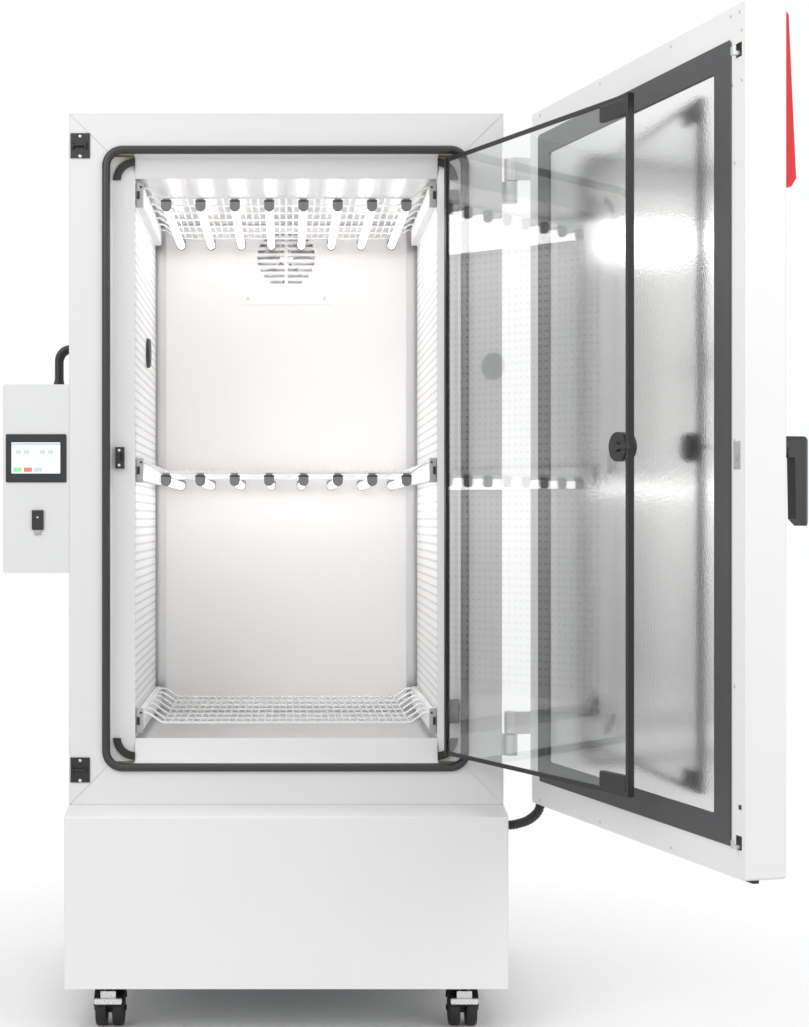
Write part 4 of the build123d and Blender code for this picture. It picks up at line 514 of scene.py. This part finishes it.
def pipe(bm, points, radius, sides=8, index=0):
    """Round rod along a list of points, with one ring at each point; radius may be a list."""
    points = [metres(*point) for point in points]
    radii = radius if isinstance(radius, list) else [radius] * len(points)
    run = (points[1] - points[0]).normalized()
    across = run.orthogonal().normalized()
    rings = []
    for place, point in enumerate(points):
        before = points[max(place - 1, 0)]
        after = points[min(place + 1, len(points) - 1)]
        run = (after - before).normalized()
        across = (across - run * across.dot(run)).normalized()
        up = run.cross(across)
        ring = []
        for step in range(sides):
            angle = 2 * math.pi * (step + 0.5) / sides
            spoke = across * math.cos(angle) + up * math.sin(angle)
            ring.append(bm.verts.new(point + spoke * radii[place] / 1000))
        rings.append(ring)
    bridge(bm, rings, closed=True)
    for ring in (rings[0], rings[-1]):
        bm.faces.new(ring)
    paint_new(bm, index)


print("helpers:", lathe.__name__, bridge.__name__, pipe.__name__)

# %% [markdown]
# Drawn faces become an object that is shaded smooth, apart from edges sharper than the crease.
# Marking those edges keeps bent sheet crisp without more faces, which a subdivision needs.

# %% From faces to a piece


def make_piece(name, bm, finishes, place=None, crease=35.0):
    """Turn drawn faces into an object, smooth but for edges sharper than the crease."""
    bmesh.ops.recalc_face_normals(bm, faces=bm.faces)
    for face in bm.faces:
        face.smooth = True
    for edge in bm.edges:
        edge.smooth = len(edge.link_faces) == 2 and edge.calc_face_angle(0.0) < math.radians(crease)
    if place is not None:
        bm.transform(place)
    painted = bm.faces.layers.int.get("painted")
    if painted:
        bm.faces.layers.int.remove(painted)
    mesh = bpy.data.meshes.new(name)
    bm.to_mesh(mesh)
    bm.free()
    for finish in finishes:
        mesh.materials.append(finish)
    piece = bpy.data.objects.new(name, mesh)
    bpy.context.scene.collection.objects.link(piece)
    return piece


print("helper:", make_piece.__name__)

# %% [markdown]
# Each rack has 35 round wires welded on seven cranked cross bars, between two folded side
# rails with a grey bracket in front. The CAD rack has four bars, and its wires are square. An
# array could repeat the wires, but loops draw wires, bars and rails as one mesh with four
# finishes, so the rack slides out as one piece.

# %% Wire racks
rack_levels = {"upper": 1775.7, "middle": 1182.4, "lower": 642.3}
rack_front, rack_back = -297.0, 296.0
rail_inner, rail_outer = 308.5, 322.0
rail_sheet = 1.5
rail_joint = 1.2             # half the gap at the joint in the middle of a rail
rail_rise, rail_drop = 26.0, 15.0
bracket_outer = 324.5
bracket_front, bracket_back = -305.6, -299.6
bracket_rise, bracket_drop = 31.3, 21.7
bar_radius, wire_radius = 2.6, 1.8
bar_count = 7
bar_rise = 20.8              # the bars' ends stand this much higher
inner_bar_drop = 1.1         # the bars between the first and the last lie lower
wire_pitch = 15.5
wires_each_side = 17
weld = 0.8                   # how far the wires sink into the bars
lever_x, lever_half_width = 319.0, 3.0
lever_front, lever_back = -308.4, -305.4
lever_rise, lever_drop = 13.0, 4.0
screw_x, screw_rise = 313.5, 22.0
screw_profile = [(0, 2.6), (1.0, 2.4), (1.3, 1.4)]
chrome, white, grey, black = range(4)


def draw_rack(bm, bar_z):
    """Wires, bars, rails and brackets of one rack."""
    front, back = rack_front - bar_radius, rack_back + bar_radius
    wire_z = bar_z + bar_radius + wire_radius - weld
    for wire in range(-wires_each_side, wires_each_side + 1):
        x = wire * wire_pitch
        pipe(bm, [(x, front, wire_z), (x, back, wire_z)], wire_radius, index=chrome)
    for bar in range(bar_count):
        y = rack_front + (rack_back - rack_front) * bar / (bar_count - 1)
        z = bar_z if bar in (0, bar_count - 1) else bar_z - inner_bar_drop
        half = [(266, z), (271.5, z + 2.2), (295, z + 18.6), (300, z + bar_rise),
                (rail_inner + 1, z + bar_rise)]
        route = [(-x, y, z) for x, z in reversed(half)] + [(x, y, z) for x, z in half]
        pipe(bm, route, bar_radius, sides=10, index=chrome)
    for side in (-1, 1):
        inner, outer = sorted((side * rail_inner, side * rail_outer))
        top, bottom = bar_z + rail_rise, bar_z - rail_drop
        wall_top = top - 0.2
        for start_y, end_y in ((front, -rail_joint), (rail_joint, back)):
            block(bm, (inner, start_y, top - rail_sheet), (outer, end_y, top), 0.5, white)
            for left in (inner, outer - rail_sheet):
                right = left + rail_sheet
                block(bm, (left, start_y, bottom), (right, end_y, wall_top), 0.3, white)
        left, right = sorted((side * rail_inner, side * bracket_outer))
        low, high = bar_z - bracket_drop, bar_z + bracket_rise
        block(bm, (left, bracket_front, low), (right, bracket_back, high), 1.5, grey)
        middle = side * lever_x
        low = (middle - lever_half_width, lever_front, bar_z - lever_drop)
        high = (middle + lever_half_width, lever_back, bar_z + lever_rise)
        block(bm, low, high, 1.0, black)
        screw_place = (side * screw_x, bracket_front, bar_z + screw_rise)
        lathe(bm, screw_place, (0, -1, 0), screw_profile, 12, black)


for level, bar_z in rack_levels.items():
    rack_mesh = bmesh.new()
    draw_rack(rack_mesh, bar_z)
    rack = make_piece(
        f"{level}_wire_rack", rack_mesh, [shelf_chrome, rail_white, bracket_grey, black_plastic]
    )
    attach(rack, f"{level}_shelf")
    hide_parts(f"{level}_rack")
print("racks", list(rack_levels))

# %% [markdown]
# The gasket is a hollow rubber bulb: a dark seal run round the frame with rounded corners,
# whose crown is painted a little paler as a highlight. Black quarter rings sit inside the
# frame's corners. A bevelled curve can't give the crown its own finish, so each point of the
# section becomes a ring round the frame, and strips join the rings.

# %% Gasket
gasket_half_width, gasket_low, gasket_high = 392.4, 544.4, 1876.7
gasket_corner = 44.0
fascia_y = -356.0
gasket_section = [(0, 0), (0.3, 4.5), (1.6, 8.6), (4.2, 11.4), (8.75, 12.7), (13.3, 11.4),
                  (15.9, 8.6), (17.2, 4.5), (17.5, 0)]
# The crown strips take the paler finish, which is a painted highlight.
crown = (2, 3, 4, 5)         # strips of the section that are paler
corner_steps = 12
seal_middle_x = 324.6
seal_middle_z = (612.2, 1808.9)
seal_section = ((47.0, -325.3), (46.5, -328.0), (30.5, -328.0), (30.0, -325.3))


def frame_ring(bm, inset, height):
    """Rounded rectangle of points round the door frame, set in by the inset."""
    ring = []
    radius = gasket_corner - inset
    centre_x = gasket_half_width - gasket_corner
    for side_x, side_z, start in ((1, 1, 0), (-1, 1, 90), (-1, -1, 180), (1, -1, 270)):
        centre_z = gasket_high - gasket_corner if side_z > 0 else gasket_low + gasket_corner
        for step in range(corner_steps + 1):
            angle = math.radians(start + 90 * step / corner_steps)
            x = side_x * centre_x + radius * math.cos(angle)
            z = centre_z + radius * math.sin(angle)
            ring.append(bm.verts.new(metres(x, fascia_y - height, z)))
    return ring


gasket_mesh = bmesh.new()
gasket_rings = [frame_ring(gasket_mesh, inset, height) for inset, height in gasket_section]
for strip in range(len(gasket_rings) - 1):
    bridge(gasket_mesh, gasket_rings[strip:strip + 2], closed=True)
    paint_new(gasket_mesh, 1 if strip in crown else 0)
bridge(gasket_mesh, [gasket_rings[-1], gasket_rings[0]], closed=True)
paint_new(gasket_mesh, 0)
for side in (-1, 1):
    for centre_z, up in zip(seal_middle_z, (-1, 1)):
        rows = []
        for radius, y in seal_section:
            row = []
            for step in range(corner_steps + 1):
                angle = math.radians(90 * step / corner_steps)
                x = side * (seal_middle_x + radius * math.cos(angle))
                z = centre_z + up * radius * math.sin(angle)
                row.append(gasket_mesh.verts.new(metres(x, y, z)))
            rows.append(row)
        bridge(gasket_mesh, rows + rows[:1], closed=False)
        for end in (0, -1):
            gasket_mesh.faces.new([row[end] for row in rows])
        paint_new(gasket_mesh, 0)
gasket = make_piece("frame_gasket", gasket_mesh, [seal_rubber, seal_crown_highlight], crease=50)
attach(gasket, "cabinet")
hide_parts("door_gasket")
print("gasket faces", len(gasket.data.polygons))

# %% [markdown]
# The caster wheels have rounded treads, a raised hub and a grooved face. All of that is in
# one turned profile. The two wheels of a caster spin together, so they are one piece.

# %% Caster wheels
caster_places = {"front_left": (-376, -358), "front_right": (376, -358),
                 "rear_left": (-376, 338), "rear_right": (376, 338)}
caster_trail = 22            # from the swivel axis back to the axle
wheel_radius = 37.5
wheel_inner_x = 6            # half the gap between the two wheels
wheel_profile = [(0, 4.1), (0, 21), (1.0, 22), (1.0, 30), (0, 32), (0.4, 34.6), (2.2, 36.7),
                 (5, wheel_radius), (19, wheel_radius), (21.8, 36.7), (23.6, 34.6), (24, 32),
                 (22.8, 30.5), (21.6, 29), (21.6, 13), (23.0, 12), (24, 10.5), (24, 4.1)]
for place, (x, y) in caster_places.items():
    wheels_mesh = bmesh.new()
    for side in (-1, 1):
        start = (x + side * wheel_inner_x, y + caster_trail, wheel_radius)
        lathe(wheels_mesh, start, (side, 0, 0), wheel_profile, sides=48)
    wheels = make_piece(f"twin_wheels_{place}", wheels_mesh, [wheel_rubber])
    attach(wheels, f"wheels_{place}")
    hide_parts(f"caster_wheels_{place}")
print("wheels", len(caster_places))

# %% [markdown]
# A ribbed conduit carries the door's wires from the housing to the door's end. Its route is a
# few straight runs. Each corner is softened, and even steps along the line give the ribs one
# pitch.

# %% Helpers for a route
arc_steps = 8


def softened(route, radii):
    """Route with each inner corner replaced by an arc of points."""
    points = [Vector(route[0])]
    for before, corner, after, radius in zip(route, route[1:], route[2:], radii):
        corner = Vector(corner)
        to_before, to_after = Vector(before) - corner, Vector(after) - corner
        reach = radius / math.tan(to_before.angle(to_after) / 2)
        start = corner + to_before.normalized() * reach
        finish = corner + to_after.normalized() * reach
        for step in range(arc_steps + 1):
            t = step / arc_steps
            points.append(start * (1 - t) ** 2 + corner * 2 * t * (1 - t) + finish * t**2)
    points.append(Vector(route[-1]))
    return points


def even_steps(points, pitch):
    """Points at even steps along a route."""
    spots, left = [points[0]], pitch
    for first, second in zip(points, points[1:]):
        run = second - first
        gone = 0.0
        while run.length - gone >= left and run.length > 0:
            gone += left
            spots.append(first + run * (gone / run.length))
            left = pitch
        left -= run.length - gone
    return spots


def at_rest(x, y, z):
    """Where a point of the closed outer door lies while the door rests open."""
    return tuple(1000 * c for c in outer_rest @ metres(x, y, z))


print("helpers:", softened.__name__, even_steps.__name__, at_rest.__name__)

# %% [markdown]
# The ribs come from the rod's radius, which swings from ring to ring.

# %% Conduit
conduit_route = [(462.8, -322, 425), (487, -322, 425), (520, -317, 433), (546, -298, 450),
                 at_rest(497.8, -411, 495), at_rest(462.8, -411, 495)]
conduit_bends = [60, 50, 26, 16]
ring_pitch = 1.5             # four rings of points make one rib
rib_radius, groove_radius = 10.4, 9.2
conduit_line = even_steps(softened(conduit_route, conduit_bends), ring_pitch)
rib_radii = [rib_radius if step % 4 in (0, 1) else groove_radius
             for step in range(len(conduit_line))]
conduit_mesh = bmesh.new()
pipe(conduit_mesh, conduit_line, rib_radii, sides=20)
conduit = make_piece("ribbed_conduit", conduit_mesh, [black_plastic], crease=80)
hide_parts("door_conduit")
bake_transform(conduit)
print("conduit points", len(conduit_line))

# %% [markdown]
# The controller's three cables are smooth. They rise from collars on the case and turn into
# the housing in a quarter circle, which a rod of eleven rings draws round enough.

# %% Cables
cable_radius = 6.9
cable_x = -490.0
cable_foot_z, cable_elbow_z = 1368.8, 1421.5
cable_bend = 27.2
bend_steps = 10
collar_profile = [(0, 9.5), (5, 9.5), (6.5, 8.2), (12, 7.6)]
cable_mesh = bmesh.new()
for y in (-322.0, -300.0, -278.0):
    line = [(cable_x, y, cable_foot_z), (cable_x, y, cable_elbow_z)]
    for step in range(1, bend_steps + 1):
        angle = math.radians(90 * step / bend_steps)
        across, rise = cable_bend * (1 - math.cos(angle)), cable_bend * math.sin(angle)
        line.append((cable_x + across, y, cable_elbow_z + rise))
    pipe(cable_mesh, line, cable_radius, sides=16)
    lathe(cable_mesh, (cable_x, y, cable_foot_z), (0, 0, 1), collar_profile, 20)
cables = make_piece("case_cables", cable_mesh, [black_plastic], crease=50)
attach(cables, "cabinet")
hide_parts("controller_cables")
print("cable faces", len(cables.data.polygons))

# %% [markdown]
# The display shows a plain screen: a header, two fields with bars for values and a row of
# buttons, two of them red and green. The socket's flap has a small green light and a small grey
# block below it.
# Thin blocks stand for all this, since they stay sharp from close by, where a picture blurs.

# %% Display
screen_x, screen_z = -533.0, 1212.0
screen_y = -358.3
field, mark, red, green, below_flap = range(5)
field_depth, mark_depth = 0.12, 0.25
display_blocks = [
    ((-51, 26), (51, 32), mark), ((-48, 27.6), (-20, 30.4), field), ((34, 27.6), (48, 30.4), field),
    ((-48, 4), (-3, 22), field), ((3, 4), (48, 22), field),
    ((-44, 8), (-30, 17), mark), ((-27, 8), (-13, 17), mark),
    ((7, 8), (21, 17), mark), ((24, 8), (38, 17), mark),
    ((-48, -16), (48, 0), field), ((-44, -5), (10, -3.4), mark),
    ((-44, -9), (24, -7.4), mark), ((-44, -13), (2, -11.4), mark),
    ((-48, -30), (-30, -20), green), ((-26, -30), (-8, -20), red),
    ((-4, -30), (14, -20), mark), ((18, -30), (48, -20), field),
]
display_mesh = bmesh.new()
for (left, bottom), (right, top), finish in display_blocks:
    front_y = screen_y - (field_depth if finish == field else mark_depth)
    low = (screen_x + left, front_y, screen_z + bottom)
    high = (screen_x + right, screen_y + 0.05, screen_z + top)
    block(display_mesh, low, high, index=finish)
block(display_mesh, (-531.2, -361.5, 1084), (-526.8, -361.2, 1087), index=green)
# A small grey block sits below the socket's flap.
block(display_mesh, (-536, -360.6, 1049), (-522, -356.4, 1058.6), 0.6, index=below_flap)
screen_white = glowing("screen_white", (0.95, 0.97, 0.98), 0.8)
display_finishes = [screen_white, mark_grey, mark_red, mark_green, bracket_grey]
display_marks = make_piece("display_marks", display_mesh, display_finishes)
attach(display_marks, "cabinet")
print("display blocks", len(display_blocks))

# %% [markdown]
# The outer door's flange has domed screws, a catch beside its middle and a small opening whose
# dark inside is a black block of painted shade, and a dark wedge sits below the door. Such small
# things give the eye the cabinet's size. All of them turn with the door, so they are one piece.

# %% Small parts of the outer door
door_face_y = -372.0
dome = [(-0.4, 3.6), (0.3, 3.6), (0.9, 2.8), (1.2, 1.2)]
flange_screws = [(-190, 1934), (-413, 1931), (-444, 1931), (-451, 1899), (115, 1934),
                 (419, 1934), (-451, 1816), (-420, 1813), (-427, 1680), (-427, 1213),
                 (-190, 489), (115, 489), (419, 489), (-427, 800)]
catch_front_y = door_face_y + 1.4
catch_knob = [(0, 8), (1.5, 7.4), (2.6, 5), (3, 2)]
steel, dark, catch = range(3)
door_mesh = bmesh.new()
for x, z in flange_screws:
    lathe(door_mesh, (x, door_face_y, z), (0, 1, 0), dome, 16, steel)
# This thin black block is painted shade for the dark inside of the small opening.
block(door_mesh, (-450, door_face_y - 1, 595), (-440, door_face_y + 0.25, 603), index=dark)
block(door_mesh, (-446, door_face_y, 1165), (-424, catch_front_y, 1212), 0.5, catch)
lathe(door_mesh, (-435, catch_front_y, 1188), (0, 1, 0), catch_knob, 24, catch)
block(door_mesh, (-455, -402, 471.5), (-425, -390, 478.2), 1.0, dark)
door_finishes = [zinc_steel, black_plastic, bracket_grey]
door_bits = make_piece("door_screws", door_mesh, door_finishes, place=outer_rest)
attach(door_bits, "outer_door")
print("flange screws", len(flange_screws))

# %% [markdown]
# The fan guard, the strike plates and the keeper are held by screws, which stay on the
# cabinet. Flat and domed heads differ only in their profile.

# %% Screws on the body
forward = (0, -1, 0)
strike_x, strike_front_y = -438.7, -359.0
strike_z = (547.8, 1876.5)
lower_screw = [(-0.3, 3.4), (0.4, 3.4), (0.8, 2.4), (0.9, 1.2)]
upper_screw = [(-0.3, 3.0), (0.4, 3.0), (0.8, 2.0)]
keeper_screw = [(-4, 3.0), (0.6, 3.0), (1.0, 2.0)]
body_mesh = bmesh.new()
for x in (-95.5, 95.5):
    lathe(body_mesh, (x, 327.6, 1631), forward, dome, 16)
for z in strike_z:
    lathe(body_mesh, (strike_x, strike_front_y, z - 22.6), forward, lower_screw, 18)
    lathe(body_mesh, (strike_x, strike_front_y, z + 20), forward, upper_screw, 16)
for z in (1197, 1229):
    lathe(body_mesh, (-358, -334.0, z), forward, keeper_screw, 16)
body_bits = make_piece("body_screws", body_mesh, [zinc_steel])
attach(body_bits, "cabinet")
print("body screw faces", len(body_bits.data.polygons))

# %% [markdown]
# The lamps' caps have black tops under the rack's front bar. They ride on the shelf that
# carries the lamps, so that they come out with it.

# %% Tops of the caps
lamp_count, lamp_pitch = 8, 74.1
cap_half_width = 11.3
cap_drop = 6.2               # from the front bar down to the caps' tops
for level in ("upper", "middle"):
    top_mesh = bmesh.new()
    cap_z = rack_levels[level] - cap_drop
    for lamp in range(lamp_count):
        x = (lamp - (lamp_count - 1) / 2) * lamp_pitch
        low = (x - cap_half_width, -303.4, cap_z - 3.2)
        high = (x + cap_half_width, -290.6, cap_z + 0.5)
        block(top_mesh, low, high, 0.8)
    cap_tops = make_piece(f"{level}_cap_tops", top_mesh, [black_plastic])
    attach(cap_tops, f"{level}_shelf")
print("caps on each lamp shelf", lamp_count)

# %% [markdown]
# A pale floor catches the cabinet's shadow. A curved backdrop is the usual studio answer, but
# the doors would mirror it. So the floor fades out round the cabinet: the distance from its
# middle mixes the floor's finish with a clear one.

# %% Floor
reach = 14                   # metres from the cabinet to the floor's edges
fade_start, fade_end = 0.5, 1.5
floor_corners = [(-reach, -reach, 0), (reach, -reach, 0), (reach, reach, 0), (-reach, reach, 0)]
floor_mesh = bpy.data.meshes.new("studio_floor")
floor_mesh.from_pydata(floor_corners, [], [(0, 1, 2, 3)])
floor = bpy.data.objects.new("studio_floor", floor_mesh)
bpy.context.scene.collection.objects.link(floor)
floor_white, floor_tree, floor_shader = new_finish("floor_white")
floor_shader.inputs["Base Color"].default_value = (0.93, 0.93, 0.93, 1)
floor_shader.inputs["Roughness"].default_value = 0.9
floor_place = floor_tree.nodes.new("ShaderNodeTexCoord")
floor_distance = floor_tree.nodes.new("ShaderNodeVectorMath")
floor_distance.operation = "LENGTH"
floor_fade = floor_tree.nodes.new("ShaderNodeMapRange")
floor_fade.inputs["From Min"].default_value = fade_start
floor_fade.inputs["From Max"].default_value = fade_end
floor_clear = floor_tree.nodes.new("ShaderNodeBsdfTransparent")
floor_mix = floor_tree.nodes.new("ShaderNodeMixShader")
floor_tree.links.new(floor_place.outputs["Object"], floor_distance.inputs[0])
floor_tree.links.new(floor_distance.outputs["Value"], floor_fade.inputs["Value"])
floor_tree.links.new(floor_fade.outputs["Result"], floor_mix.inputs["Fac"])
floor_tree.links.new(floor_shader.outputs[0], floor_mix.inputs[1])
floor_tree.links.new(floor_clear.outputs[0], floor_mix.inputs[2])
floor_tree.links.new(floor_mix.outputs[0], floor_tree.nodes["Material Output"].inputs["Surface"])
floor_mesh.materials.append(floor_white)
floor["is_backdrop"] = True
print("floor fades between", fade_start, "and", fade_end, "metres")

# %% [markdown]
# The world looks white to the camera, in mirrors and through glass, but lights the cabinet
# more gently, so that white paint keeps its shading.

# %% World
world = bpy.data.worlds.new("studio_world")
bpy.context.scene.world = world
world.use_nodes = True
world_tree = world.node_tree
world_light = world_tree.nodes["Background"]
world_light.inputs["Color"].default_value = (1, 1, 1, 1)
rays = world_tree.nodes.new("ShaderNodeLightPath")
seen = world_tree.nodes.new("ShaderNodeMath")
seen.operation = "MAXIMUM"
seen_all = world_tree.nodes.new("ShaderNodeMath")
seen_all.operation = "MAXIMUM"
strength = world_tree.nodes.new("ShaderNodeMapRange")
strength.inputs["To Min"].default_value = 0.66
strength.inputs["To Max"].default_value = 1.0
world_tree.links.new(rays.outputs["Is Camera Ray"], seen.inputs[0])
world_tree.links.new(rays.outputs["Is Glossy Ray"], seen.inputs[1])
world_tree.links.new(seen.outputs[0], seen_all.inputs[0])
world_tree.links.new(rays.outputs["Is Transmission Ray"], seen_all.inputs[1])
world_tree.links.new(seen_all.outputs[0], strength.inputs["Value"])
world_tree.links.new(strength.outputs["Result"], world_light.inputs["Strength"])
print("world lights at", strength.inputs["To Min"].default_value)

# %% [markdown]
# Three large area lamps give soft shadows: the main one in front at the left, a weaker one at
# the right and one above.

# %% Studio lamps


def studio_lamp(name, place, aim, size, power):
    """Soft rectangular lamp that points at a spot on the cabinet."""
    data = bpy.data.lights.new(name, "AREA")
    data.shape = "RECTANGLE"
    data.size = size[0]
    data.size_y = size[1]
    data.energy = power
    lamp = bpy.data.objects.new(name, data)
    lamp.location = place
    lamp.rotation_euler = (Vector(aim) - Vector(place)).to_track_quat("-Z", "Y").to_euler()
    bpy.context.scene.collection.objects.link(lamp)
    return lamp


studio_lamp("key_lamp", (-2.2, -3.6, 3.2), (0, 0, 1.0), (2.2, 2.2), 62)
studio_lamp("fill_lamp", (3.0, -3.2, 2.2), (0.2, 0, 1.0), (2.4, 2.4), 40)
studio_lamp("top_lamp", (0, 0.3, 4.2), (0, 0, 1.0), (3.0, 3.0), 40)
bpy.context.scene.view_settings.view_transform = "Standard"

# %% Finish
low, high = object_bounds()
print("visual box", [round(c, 3) for c in low], [round(c, 3) for c in high])
